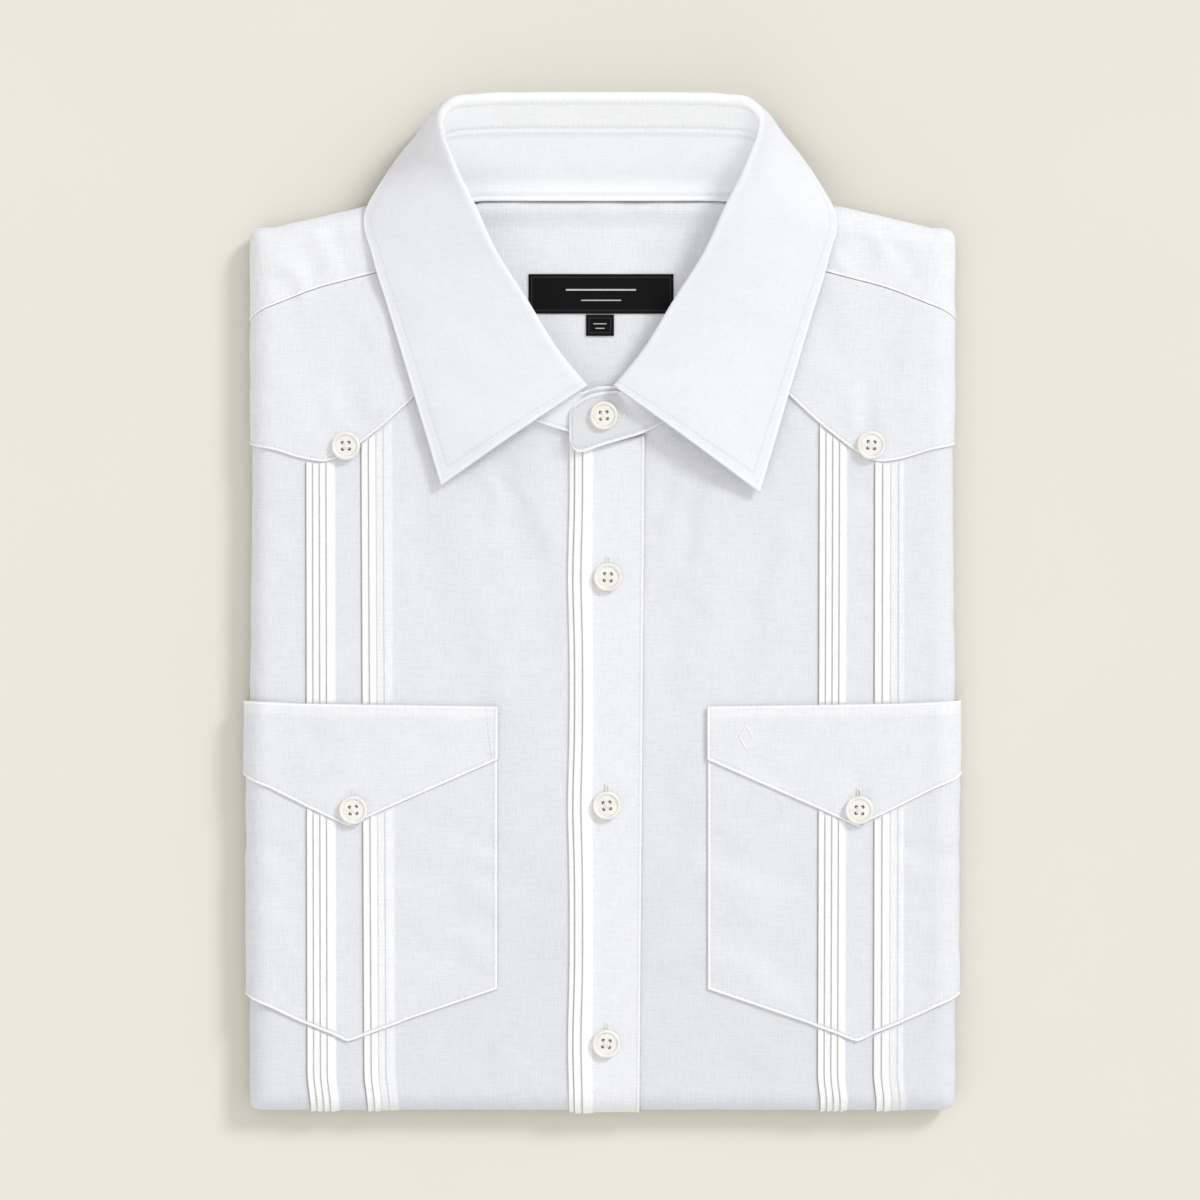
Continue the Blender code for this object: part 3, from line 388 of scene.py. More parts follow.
def creases(s, t):
    """Height of the listed creases: each falls off as a bell on the distance from its line, which
    wanders with a soft unevenness.  They are fainter where the cloth is drawn round its side edges."""
    s, t = np.broadcast_arrays(s, t)
    wander_s = s + CREASE_WANDER * undulation(s, t, 5, 26 * MM)
    wander_t = t + CREASE_WANDER * undulation(s, t, 6, 26 * MM)
    total = np.zeros(s.shape)
    for x0, y0, x1, y1, width, height in zip(*CREASES.values()):
        length = np.hypot(x1 - x0, y1 - y0)
        share = ((wander_s - x0) * (x1 - x0) + (wander_t - y0) * (y1 - y0)) / length ** 2
        nearest = np.clip(share, 0, 1)
        distance = np.hypot(wander_s - x0 - nearest * (x1 - x0), wander_t - y0 - nearest * (y1 - y0))
        total = total + height * bell(distance, width)
    drawn = smooth_step((np.abs(s) - SIDE_FLAT + 3 * MM) / (9 * MM))
    return CREASE_DEPTH * total * (1 - 0.65 * drawn)


def side_puckers(s, t):
    """Small pleats across the round of the side edges, where the cloth turns under."""
    turn = smooth_step((np.abs(s) - SIDE_FLAT + 9 * MM) / (12 * MM))
    return PUCKER_HEIGHT * turn * undulation(0.25 * s, t, 9 + (1 if np.mean(s) > 0 else 0), 15 * MM)


def body_relief(s, t):
    """Creases and unevenness that the fronts and all that lies on them share."""
    return creases(s, t) + UNEVENNESS * undulation(s, t, 2, 13 * MM) + side_puckers(s, t)


def pressed_relief(s, t):
    """The relief, held softly within a limit that keeps each sheet clear of its neighbours."""
    return RELIEF_LIMIT * np.tanh(body_relief(s, t) / RELIEF_LIMIT)


def groove_at(width=BEAD_WIDTH):
    """How far the line of stitches lies from a turned edge of the given width."""
    return 1.2 * width


def edge_shade(distance, groove):
    """Shade at a sheet's very edge, where it meets the cloth below, and in the groove of its stitches."""
    return 0.62 * bell(distance, 0.24 * MM) + 0.18 * bell(distance - groove, 0.3 * MM)


def bead(distance, height=BEAD_HEIGHT, width=BEAD_WIDTH):
    """A turned edge in section: a round rib beside the edge, then a groove where its stitches draw in."""
    rib = np.sqrt(np.clip(1 - (2 * distance / width - 1) ** 2, 0, 1))
    groove = 0.45 * bell(distance - groove_at(width), 0.35 * width)
    return height * np.where(distance < width, rib, 0) - height * groove


def rim(distance):
    """How much of its thickness a sheet has near a free edge: a quarter round that ends in a thin rim."""
    return 0.12 + 0.88 * np.sqrt(np.clip(1 - (1 - np.clip(distance / RIM_ROUND, 0, 1)) ** 2, 0, 1))


def fold_rise(offset):
    """0 before a tuck's fold and 1 past it, with a small round between."""
    return smooth_step((offset + 0.18 * MM) / (0.3 * MM))


def fold_shade(offset):
    """The dark line that a tuck's fold throws beside itself."""
    return bell(offset + 0.14 * MM, FOLD_SHADE_WIDTH)


def tucks(s_at_yoke):
    """Height share, whiteness and painted shade of the tucks, from s where the cloth meets its yoke.  Each
    rises at its fold and slopes down to the next one's; the painted shade is a dark line beside each fold."""
    height, white, painted_shade = (np.zeros_like(s_at_yoke) for _ in range(3))
    for group, (first, _, pitch, last) in enumerate(zip(*TUCK_GROUPS.values())):
        for number in range(TUCKS_IN_GROUP):
            is_first, is_last = number == 0, number == TUCKS_IN_GROUP - 1
            width = last if is_last else pitch
            offset = s_at_yoke - (first + number * pitch)
            rise = fold_rise(offset)
            level = 1 - (1.0 if is_last else 0.72) * np.clip(offset / width, 0, 1) ** 1.3
            faint = 0.5 if group in (1, 3) and number > 1 else 1.0
            on = (offset > -0.2 * MM) & (offset < width - (0 if is_last else 0.2 * MM))
            start = 0 if is_first else 0.28
            height = np.where(on, start + (faint * level - start) * rise, height)
            fade = smooth_step((width - offset) / (0.8 * MM)) if is_last else 1.0
            shown = rise if is_first else np.ones_like(rise)
            white = np.where(on, shown * fade * (0.08 + 0.92 * faint), white)
            fold_shade_strength = 1.0 if is_first else 0.8 * faint ** 1.2
            painted_shade = np.maximum(painted_shade, fold_shade_strength * fold_shade(offset))
    return height, white, painted_shade


# ---------------------------------------------------------------- materials

def new_group(name, inputs, outputs):
    """An empty shader node group with named sockets, and its two ends."""
    group = bpy.data.node_groups.new(name, "ShaderNodeTree")
    for label, kind, value in inputs:
        socket = group.interface.new_socket(name=label, in_out="INPUT", socket_type=kind)
        if value is not None:
            socket.default_value = value
    for label, kind in outputs:
        group.interface.new_socket(name=label, in_out="OUTPUT", socket_type=kind)
    return group, group.nodes.new("NodeGroupInput").outputs, group.nodes.new("NodeGroupOutput").inputs


def feed(tree, socket, value):
    """Links a socket to another, or sets its value."""
    if isinstance(value, bpy.types.NodeSocket):
        tree.links.new(value, socket)
    else:
        socket.default_value = value


def feed_all(tree, node, values):
    """Feeds several of a node's inputs by their names."""
    for key, value in values.items():
        feed(tree, node.inputs[key], value)


def calc(tree, operation, *values):
    """A Math node."""
    node = tree.nodes.new("ShaderNodeMath")
    node.operation = operation
    for socket, value in zip(node.inputs, values):
        feed(tree, socket, value)
    return node.outputs[0]


def stretch(tree, vector, scale):
    """A vector multiplied part by part."""
    node = tree.nodes.new("ShaderNodeVectorMath")
    node.operation = "MULTIPLY"
    feed(tree, node.inputs[0], vector)
    feed(tree, node.inputs[1], scale)
    return node.outputs[0]


def noise(tree, vector, scale, detail=2.0, rough=0.5):
    """A Noise texture's value."""
    node = tree.nodes.new("ShaderNodeTexNoise")
    feed_all(tree, node, {"Vector": vector, "Scale": scale, "Detail": detail, "Roughness": rough})
    return node.outputs["Fac"]


def ramp(tree, value, low, high, to_low=0.0, to_high=1.0):
    """A value carried softly from one range to another."""
    node = tree.nodes.new("ShaderNodeMapRange")
    node.interpolation_type = "SMOOTHSTEP"
    for socket, number in zip(node.inputs, (value, low, high, to_low, to_high)):
        feed(tree, socket, number)
    return node.outputs[0]


def blend_colours(tree, share, first, second, mode="MIX"):
    """A Mix node for colours."""
    node = tree.nodes.new("ShaderNodeMix")
    node.data_type = "RGBA"
    node.blend_type = mode
    for key, value in ((0, share), (6, first), (7, second)):
        feed(tree, node.inputs[key], value)
    return node.outputs[2]


def plain_weave_group():
    """Plain weave: threads along U and V, each a rounded ridge that passes over and under the other set's,
    with slubs, which are long thin thick spots, and a cloudy unevenness.  U and V are metres of cloth."""
    group, given, out = new_group(
        "plain_weave",
        [("Cloth", "NodeSocketVector", None), ("Threads per Metre", "NodeSocketFloat", 2200.0),
         ("Slubs", "NodeSocketFloat", 1.0), ("Seed", "NodeSocketFloat", 0.0)],
        [("Height", "NodeSocketFloat"), ("Shade", "NodeSocketFloat"), ("Roughness", "NodeSocketFloat")])
    offset = group.nodes.new("ShaderNodeCombineXYZ")
    feed(group, offset.inputs[2], given["Seed"])
    place = group.nodes.new("ShaderNodeVectorMath")
    place.operation = "ADD"
    feed(group, place.inputs[0], given["Cloth"])
    feed(group, place.inputs[1], offset.outputs[0])
    place = place.outputs[0]
    warp_slub = noise(group, stretch(group, place, (1900.0, 130.0, 1.0)), 1.0, 3.0, 0.55)
    weft_slub = noise(group, stretch(group, place, (120.0, 1900.0, 1.0)), 1.0, 3.0, 0.55)
    cloud = noise(group, stretch(group, place, (55.0, 55.0, 1.0)), 1.0, 4.0, 0.6)
    parts = group.nodes.new("ShaderNodeSeparateXYZ")
    feed(group, parts.inputs[0], place)
    waves = []
    for part, slub in ((parts.outputs[0], warp_slub), (parts.outputs[1], weft_slub)):
        turns = calc(group, "MULTIPLY", part, given["Threads per Metre"])
        turns = calc(group, "ADD", turns, calc(group, "MULTIPLY", slub, 0.5))
        waves.append(calc(group, "MULTIPLY", turns, 2 * np.pi))
    over = calc(group, "MULTIPLY", calc(group, "COSINE", calc(group, "MULTIPLY", waves[0], 0.5)),
                calc(group, "COSINE", calc(group, "MULTIPLY", waves[1], 0.5)))
    threads = []
    for wave, sign in zip(waves, (0.5, -0.5)):
        ridge = calc(group, "MULTIPLY_ADD", calc(group, "COSINE", wave), -0.5, 0.5)
        threads.append(calc(group, "MULTIPLY", ridge, calc(group, "MULTIPLY_ADD", over, sign, 0.5)))
    weave = calc(group, "MAXIMUM", *threads)
    slubs = calc(group, "ADD", ramp(group, warp_slub, 0.5, 0.78), ramp(group, weft_slub, 0.5, 0.78))
    slubs = calc(group, "MULTIPLY", slubs, given["Slubs"])
    height = calc(group, "ADD", calc(group, "MULTIPLY", weave, 0.6), calc(group, "MULTIPLY", slubs, 0.55))
    feed(group, out["Height"], height)
    shade = calc(group, "MULTIPLY_ADD", weave, 0.10, 0.955)
    fine = calc(group, "SUBTRACT", calc(group, "ADD", warp_slub, weft_slub), 1.0)
    fine = calc(group, "MULTIPLY", fine, calc(group, "MULTIPLY", given["Slubs"], 0.24))
    shade = calc(group, "ADD", shade, fine)
    shade = calc(group, "ADD", shade, calc(group, "MULTIPLY_ADD", cloud, 0.07, -0.035))
    feed(group, out["Shade"], shade)
    feed(group, out["Roughness"], calc(group, "MULTIPLY_ADD", weave, -0.12, 0.9))
    return group


def new_material(name):
    """A material, its node tree and its shader."""
    made = bpy.data.materials.new(name)
    made.use_nodes = True
    return made, made.node_tree, made.node_tree.nodes["Principled BSDF"]


def bump(tree, shader, height, distance, strength):
    """Fine relief in a shader's normal."""
    node = tree.nodes.new("ShaderNodeBump")
    feed_all(tree, node, {"Distance": distance, "Strength": strength, "Height": height})
    tree.links.new(node.outputs[0], shader.inputs["Normal"])


def uv_of(tree):
    """Metres of cloth, from the mesh's own UV map."""
    node = tree.nodes.new("ShaderNodeUVMap")
    node.uv_map = "cloth"
    return node.outputs[0]


def place_of(tree):
    """Metres in the object's own frame."""
    return tree.nodes.new("ShaderNodeTexCoord").outputs["Object"]


def attribute(tree, name):
    """A value that the mesh gives at each point."""
    node = tree.nodes.new("ShaderNodeAttribute")
    node.attribute_name = name
    return node.outputs["Fac"]


def cotton(name, thin, thick, threads, slubs, seed=0.0):
    """White cotton: a cooler colour where one layer shows the dark below it, a whiter one where several
    lie together, as the mesh's own layers attribute says; painted shade from its second attribute darkens it
    in folds, at edges and in stitch grooves."""
    made, tree, shader = new_material(name)
    weave = tree.nodes.new("ShaderNodeGroup")
    weave.node_tree = WEAVE
    feed_all(tree, weave, {"Cloth": uv_of(tree), "Threads per Metre": threads, "Slubs": slubs, "Seed": seed})
    colour = blend_colours(tree, attribute(tree, "layers"), (*thin, 1), (*thick, 1))
    # Painted shade from the mesh's second attribute darkens the colour in folds, at edges and in stitch
    # grooves
    fold = calc(tree, "MULTIPLY_ADD", attribute(tree, "painted_shade"), -FOLD_SHADE, 1.0)
    shade = calc(tree, "MULTIPLY", weave.outputs["Shade"], fold)
    feed_all(tree, shader, {
        "Base Color": blend_colours(tree, 1.0, colour, shade, "MULTIPLY"),
        "Roughness": weave.outputs["Roughness"],
        "Sheen Weight": 0.12, "Sheen Roughness": 0.5, "Specular IOR Level": 0.25})
    bump(tree, shader, weave.outputs["Height"], 0.16 * MM, 0.8)
    return made


def thread_material():
    """Sewing thread: fine twist lines round each stitch, from its own UV."""
    made, tree, shader = new_material("white_thread")
    twist = noise(tree, stretch(tree, uv_of(tree), (2500.0, 900.0, 1.0)), 1.0, 1.0)
    feed_all(tree, shader, {"Base Color": blend_colours(tree, twist, *THREAD_COLOURS),
                            "Roughness": 0.6, "Sheen Weight": 0.2})
    bump(tree, shader, twist, 0.05 * MM, 0.5)
    return made


def ivory_material():
    """Ivory resin: soft clouds and faint streaks, with painted tan shade inside the holes and in the dish's
    groove.
    """
    made, tree, shader = new_material("ivory_button")
    place = place_of(tree)
    cloud = noise(tree, place, 260.0, 4.0, 0.55)
    streak = noise(tree, stretch(tree, place, (300.0, 900.0, 300.0)), 1.0, 3.0)
    colour = blend_colours(tree, ramp(tree, cloud, 0.3, 0.7), *IVORY_COLOURS)
    colour = blend_colours(tree, ramp(tree, streak, 0.45, 0.75, 0.0, 0.3), colour, IVORY_STREAK)
    feed_all(tree, shader, {
        "Base Color": blend_colours(tree, attribute(tree, "hole"), colour, IVORY_HOLE_SHADE),
        "Roughness": ramp(tree, cloud, 0.2, 0.8, 0.26, 0.4), "Coat Weight": 0.25, "Coat Roughness": 0.18})
    bump(tree, shader, streak, 0.03 * MM, 0.4)
    return made


def label_material(name, half_width, half_height, rules):
    """Black damask: satin rows across, a faint border line and pale plain rules, each a band in the label's
    own UV, which has its middle at 0, 0.  A rule is (its height, its half length, its half thickness)."""
    made, tree, shader = new_material(name)
    place = uv_of(tree)
    parts = tree.nodes.new("ShaderNodeSeparateXYZ")
    feed(tree, parts.inputs[0], place)
    across, up = parts.outputs[:2]
    fuzz = calc(tree, "MULTIPLY", calc(tree, "SUBTRACT", noise(tree, place, 3000.0), 0.5), 0.12 * MM)
    past_side = calc(tree, "SUBTRACT", calc(tree, "ABSOLUTE", across), half_width)
    past_end = calc(tree, "SUBTRACT", calc(tree, "ABSOLUTE", up), half_height)
    inset = calc(tree, "ADD", calc(tree, "MAXIMUM", past_side, past_end), fuzz)
    border = calc(tree, "LESS_THAN", calc(tree, "ABSOLUTE", inset), 0.14 * MM)
    lines = calc(tree, "MULTIPLY", border, 0.06)
    for height, half_length, half_thick in rules:
        off = calc(tree, "ABSOLUTE", calc(tree, "SUBTRACT", calc(tree, "ADD", up, fuzz), height))
        band = calc(tree, "LESS_THAN", off, half_thick)
        within = calc(tree, "LESS_THAN", calc(tree, "ABSOLUTE", across), half_length)
        lines = calc(tree, "MAXIMUM", lines, calc(tree, "MULTIPLY", band, within))
    rows = calc(tree, "SINE", calc(tree, "MULTIPLY", up, 2 * np.pi / (0.42 * MM)))
    ribs = calc(tree, "SINE", calc(tree, "MULTIPLY", across, 2 * np.pi / (0.3 * MM)))
    satin = calc(tree, "MULTIPLY", calc(tree, "ADD", rows, calc(tree, "MULTIPLY", ribs, 0.5)), 0.5)
    black = blend_colours(tree, noise(tree, place, 900.0, 3.0), *LABEL_BLACKS)
    feed_all(tree, shader, {
        "Base Color": blend_colours(tree, lines, black, LABEL_PALE),
        "Roughness": ramp(tree, satin, -1.0, 1.0, 0.7, 0.55), "Specular IOR Level": 0.08})
    bump(tree, shader, calc(tree, "ADD", satin, lines), 0.05 * MM, 0.5)
    return made


def floor_material():
    """A pale cream tabletop, matt, with the faintest mottling."""
    made, tree, shader = new_material("cream_tabletop")
    place = place_of(tree)
    feed_all(tree, shader, {"Base Color": blend_colours(tree, noise(tree, place, 9.0, 5.0), *FLOOR_COLOURS),
                            "Roughness": 0.75, "Specular IOR Level": 0.2})
    bump(tree, shader, noise(tree, place, 700.0, 3.0), 0.1 * MM, 0.15)
    return made


WEAVE = plain_weave_group()
COTTON = cotton("white_cotton", SINGLE_THIN, SINGLE_THICK, 2200.0, 1.0)
COLLAR_COTTON = cotton("collar_cotton", COLLAR_THIN, COLLAR_THICK, 2500.0, 0.55, 3.0)
THREAD = thread_material()
IVORY = ivory_material()


# ---------------------------------------------------------------- meshes from grids

def add_object(name, data):
    """A new object in the scene."""
    made = bpy.data.objects.new(name, data)
    bpy.context.scene.collection.objects.link(made)
    return made


def mesh_object(name, points, faces, material, cloth=None, **attributes):
    """A mesh object at the origin.  Its UV map, if it has one, is in metres of cloth, and each attribute is
    one value a point."""
    mesh = bpy.data.meshes.new(name)
    mesh.from_pydata(points.tolist(), [], faces)
    if cloth is not None:
        corners = np.zeros(len(mesh.loops), np.int32)
        mesh.loops.foreach_get("vertex_index", corners)
        layer = mesh.uv_layers.new(name="cloth")
        layer.data.foreach_set("uv", cloth[corners].astype(np.float32).ravel())
    for label, values in attributes.items():
        layer = mesh.attributes.new(label, "FLOAT", "POINT")
        layer.data.foreach_set("value", np.broadcast_to(values, len(points)).astype(np.float32))
    mesh.shade_smooth()
    mesh.materials.append(material)
    return add_object(name, mesh)


def grid_quads(rows, columns, wrap_columns=False):
    """Corners of the quads of a grid of points, its columns joined up in a ring if asked."""
    index = np.arange(rows * columns).reshape(rows, columns)
    if wrap_columns:
        index = np.concatenate([index, index[:, :1]], axis=1)
    corners = [index[:-1, :-1], index[:-1, 1:], index[1:, 1:], index[1:, :-1]]
    return np.stack(corners, axis=-1).reshape(-1, 4)


def shell(name, upper, under, s, t, material, layers=1.0, painted_shade=0.0):
    """A closed sheet between two grids of points: quads on each, and a strip round the rim.  Its layers
    attribute is 1 where the cloth lies several times over, and its second attribute is painted shade, 1
    inside a fold."""
    rows, columns = upper.shape[:2]
    count = rows * columns
    top = grid_quads(rows, columns)
    index = np.arange(count).reshape(rows, columns)
    ring = np.concatenate([index[0, :-1], index[:-1, -1], index[-1, :0:-1], index[:0:-1, 0]])
    following = np.roll(ring, -1)
    strip = np.stack([ring + count, following + count, following, ring], axis=-1)
    quads = np.concatenate([top, top[:, ::-1] + count, strip])
    points = np.concatenate([upper.reshape(-1, 3), under.reshape(-1, 3)])
    plan = np.stack(np.broadcast_arrays(s, t), axis=-1).reshape(-1, 2)
    attributes = {label: np.tile(np.broadcast_to(values, (rows, columns)).ravel(), 2)
                  for label, values in (("layers", layers), ("painted_shade", painted_shade))}
    return mesh_object(name, points, quads.tolist(), material, np.concatenate([plan, plan]), **attributes)


def ringed_faces(rows, columns, flip=False):
    """Faces of a grid whose rows are closed rings, with a fan of triangles from its first and its last row
    to two poles, which come after the grid's own points."""
    ring = np.arange(columns)
    following = np.roll(ring, -1)
    last = (rows - 1) * columns
    pole = np.full(columns, rows * columns)
    fans = np.concatenate([np.stack([following, ring, pole], axis=-1),
                           np.stack([ring + last, following + last, pole + 1], axis=-1)])
    quads = grid_quads(rows, columns, True)
    if flip:
        quads, fans = quads[:, ::-1], fans[:, [1, 0, 2]]
    return quads.tolist() + fans.tolist()


def steps(length, spacing, start=True, end=True):
    """Distances from 0 to length: even ones, and finer ones beside each free edge."""
    low = EDGE_STEPS if start else np.zeros(1)
    high = length - EDGE_STEPS[::-1] if end else np.array([length])
    count = int(np.ceil((high[0] - low[-1]) / spacing)) + 1
    return np.concatenate([low, np.linspace(low[-1], high[0], count)[1:-1], high])


def share_steps(length, spacing, end=True):
    """The same steps as shares of the length, for the rows of a grid."""
    return steps(length, spacing, True, end)[:, None] / length


def with_more_at(columns, places, offsets, least_gap):
    """Sorted columns, with more of them round each place, and none nearer to the last than a least gap."""
    columns = np.sort(np.concatenate([columns, np.add.outer(np.asarray(places), offsets).ravel()]))
    return columns[np.concatenate([[True], np.diff(columns) > least_gap])]


def across_side(side, inner, spacing, start=True, folds=()):
    """Columns of s from an inner edge out round the side's edge, with more of them at each fold."""
    length = SIDE_FLAT + EDGE_RADIUS * WRAP_END - inner
    columns = side * (inner + steps(length, spacing, start, False))
    return with_more_at(columns, folds, FOLD_STEPS, 0.06 * MM)


def folds_of(side):
    """s at the yoke of one side's tuck folds, and of the end of each group's last tuck."""
    found = []
    for first, _, pitch, last in zip(*TUCK_GROUPS.values()):
        if first * side > 0:
            found += [first + number * pitch for number in range(TUCKS_IN_GROUP)]
            found.append(first + (TUCKS_IN_GROUP - 1) * pitch + last)
    return found


def fold_move(s, t):
    """How far the cloth's columns move across at t, so that they stay with the tucks: each group leans by
    its own amount, and all swing over where they turn under at the hem."""
    share = np.clip((60 * MM - t) / (260 * MM), 0, 1)
    flare = HEM_FLARE * smooth_step((HEM_FLAT + 0.6 * FLARE_RUN - t) / FLARE_RUN) ** 1.5
    total = 0.0
    for first, move, pitch, last in zip(*TUCK_GROUPS.values()):
        end = first + (TUCKS_IN_GROUP - 1) * pitch + last
        outside = np.maximum(np.maximum(first - s, s - end), 0)
        total = total + (move * share + flare) * smooth_step(1 - outside / (5 * MM))
    return total


def softened(curve, s, width):
    """A tabulated edge with its corners rounded over the given width."""
    return np.mean([along(curve, s + width * shift) for shift in (-0.5, -0.3, -0.1, 0.1, 0.3, 0.5)], axis=0)


def yoke_edge(s):
    """t of the front yokes' lower edge."""
    return softened(YOKE_EDGE, s, 6 * MM)


def shoulder_seam(s):
    """t of the seam where the front yokes meet the back yoke."""
    return softened(SHOULDER_SEAM, s, 8 * MM)


def pocket_edge(s):
    """t of the pockets' lower edge."""
    return softened(POCKET_EDGE, s, 1.2 * MM)


def flap_edge(s):
    """t of the flaps' lower edge."""
    return softened(FLAP_EDGE, s, 0.9 * MM)


def square_to(edge, s):
    """Cosine of an edge's slope: it turns a distance along t into a distance from the edge."""
    return 1 / np.sqrt(1 + np.gradient(edge, s) ** 2)


# ---------------------------------------------------------------- declaring pieces

def declare(piece, slot, *nodes):
    """A piece that rides on the shirt and stands for the solids of the given nodes, which it hides.  The
    slot is not used.  Thread stands for none."""
    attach(piece, "root")
    if nodes:
        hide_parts(*nodes)
    return piece


def body_piece(name, s, t, upper, under, white, painted_shade=0.0, slot="double_cloth", lifted=True):
    """A sheet of cotton between two heights above the pillow, which stands for the node of its name."""
    faces = pillow(s, t, upper, lifted), pillow(s, t, under, lifted)
    return declare(shell(name + "_cloth", *faces, s, t, COTTON, white, painted_shade), slot, name)


# ---------------------------------------------------------------- body pieces
# Each *_out function gives the height of a piece's upper face above the pillow.

def clear_of(distance):
    """1 a little way past an edge that presses the cloth flat, and 0 under it."""
    return smooth_step((distance - 0.2 * MM) / (0.9 * MM))


def bare_front(s, t):
    """1 where a front shows its tucks, and 0 where a yoke or pocket presses them flat."""
    by_pocket = np.maximum(clear_of(t - along(POCKET_TOP, s)), clear_of(along(POCKET_EDGE, s) - t))
    return by_pocket * clear_of(yoke_edge(s) - t)


def under_collar(side, inner, run):
    """1 where a front lies under the collar, at a distance from the centre line."""
    return smooth_step((side - inner) / run) * smooth_step((60 * MM - side) / (6 * MM))


def front_top(s):
    """t of a front's top edge, which is sewn up under the stand."""
    return along(FRONT_TOP, s) + 3 * MM * under_collar(np.abs(s), 12 * MM, 4 * MM)


def front_out(s_at_yoke, s, t):
    """A front: flat under the placket, raised to the stand's seam, and with its tucks where they show."""
    side = np.abs(s)
    relief = pressed_relief(s, t) * (0.25 + 0.75 * smooth_step((side - 14 * MM) / (6 * MM)))
    sewn = under_collar(side, 16 * MM, 4 * MM) * smooth_step((t - front_top(s) + 8 * MM) / (6 * MM))
    return FRONT_OUT + relief + NECK_RISE * sewn + TUCK_HEIGHT * tucks(s_at_yoke)[0] * bare_front(s, t)


def make_front(side, name):
    """One front, from under the placket out round its side, and from round the hem up under its yoke.  More
    hidden layers whiten it at the chest than at the hem."""
    at_yoke = across_side(side, 1.0 * MM, 1.8 * MM, False, folds_of(side))
    share = np.linspace(0, 1, 205)[:, None]
    t = HEM_WRAPPED + share * (front_top(at_yoke) - HEM_WRAPPED)
    s = at_yoke + fold_move(at_yoke, t)
    at_yoke = np.broadcast_to(at_yoke, t.shape)
    raised, strips, painted_shade = (part * bare_front(s, t) for part in tucks(at_yoke))
    out = front_out(at_yoke, s, t)
    under = out - SINGLE_WALL - TUCK_HEIGHT * raised
    white = np.maximum(strips, 0.2 * smooth_step((t + 160 * MM) / (150 * MM)))
    return body_piece(name, s, t, out, under, white, painted_shade, "cloth")


def placket_edges(t):
    """Where the placket's two edges are at t, from its plain width: the left one swells beside each
    button, and the right one leans in towards the hem."""
    swell = sum(bell(t - place, 20 * MM) for _, place, _ in PLACKET_BUTTONS)
    return -0.7 * MM * (swell - 0.4), 0.0078 * (t + 50 * MM)


def placket_place(plain, t):
    """s of the placket's columns at t."""
    left, right = placket_edges(t)
    near_left = smooth_step((2 * MM - plain) / (12 * MM))
    near_right = smooth_step((plain - 8 * MM) / (8 * MM))
    return plain + left * near_left + right * near_right


def placket_plate(s, t):
    """The placket without its tucks and edges, pressed flatter than the fronts."""
    return SECOND_OUT + np.clip(0.5 * body_relief(s, t), -0.15 * MM, 0.2 * MM)


def placket_out(plain, s, t):
    """The placket with its two tucks: each rises at its fold, and the last slopes down to a plain strip."""
    out = placket_plate(s, t)
    for fold, end in zip(PLACKET_FOLDS[:2], PLACKET_FOLDS[1:]):
        offset = plain - fold
        level = 1 - 0.55 * np.clip(offset / (end - fold), 0, 1) ** 1.5
        on = (offset > -0.2 * MM) & (offset < end - fold)
        out = out + np.where(on, PLACKET_TUCK_HEIGHT * level * fold_rise(offset), 0)
    past_last = smooth_step((PLACKET_FOLDS[2] + 1.2 * MM - plain) / (1.2 * MM)) * (plain >= PLACKET_FOLDS[2])
    out = out + PLACKET_TUCK_HEIGHT * 0.45 * past_last
    drawn = sum(bell(np.hypot(s - button_s, 0.7 * (t - button_t)), 6 * MM)
                for button_s, button_t, _ in PLACKET_BUTTONS)
    return out - 0.15 * MM * drawn + bead(PLACKET_RIGHT - plain, 0.2 * MM)


def make_placket():
    """The front strip with its tucks, over both fronts and round the hem."""
    even = PLACKET_LEFT + steps(PLACKET_RIGHT - PLACKET_LEFT, 1.5 * MM)
    plain = with_more_at(even, PLACKET_FOLDS, PLACKET_FOLD_STEPS, 0.05 * MM)
    top = along(FRONT_TOP, plain) - 1.5 * MM
    t = HEM_WRAPPED + np.linspace(0, 1, 200)[:, None] * (top - HEM_WRAPPED)
    s = placket_place(plain, t)
    grid = np.broadcast_to(plain, t.shape)
    from_left, from_right = grid - PLACKET_LEFT, PLACKET_RIGHT - grid
    under = placket_plate(s, t) - DOUBLE_WALL
    upper = under + (placket_out(grid, s, t) - under) * rim(np.minimum(from_left, from_right))
    white = 0.43 + 0.57 * smooth_step((PLACKET_FOLDS[2] + 0.3 * MM - grid) / (0.5 * MM))
    white = np.maximum(white, 0.85 * (from_right < BEAD_WIDTH))
    painted_shade = sum(fold_shade(grid - fold) for fold in PLACKET_FOLDS[:2])
    painted_shade = painted_shade + edge_shade(from_left, NO_GROOVE) + edge_shade(from_right, groove_at())
    return body_piece("placket", s, t, upper, under, white, painted_shade)


def yoke_out(s, t, from_edge, seam):
    """A front yoke: its lower edge is turned and stitched, and it dips into the shoulder seam."""
    dip = 0.15 * MM * bell(seam - t, 1.0 * MM)
    return SECOND_OUT + pressed_relief(s, t) + bead(from_edge, YOKE_BEAD_HEIGHT, YOKE_BEAD_WIDTH) - dip


def turned_white(plain, from_edge):
    """Whiteness of a yoke: it grows from plain to full on the turned edge."""
    return plain + (1 - plain) * smooth_step((1.3 * MM - from_edge) / (0.5 * MM))


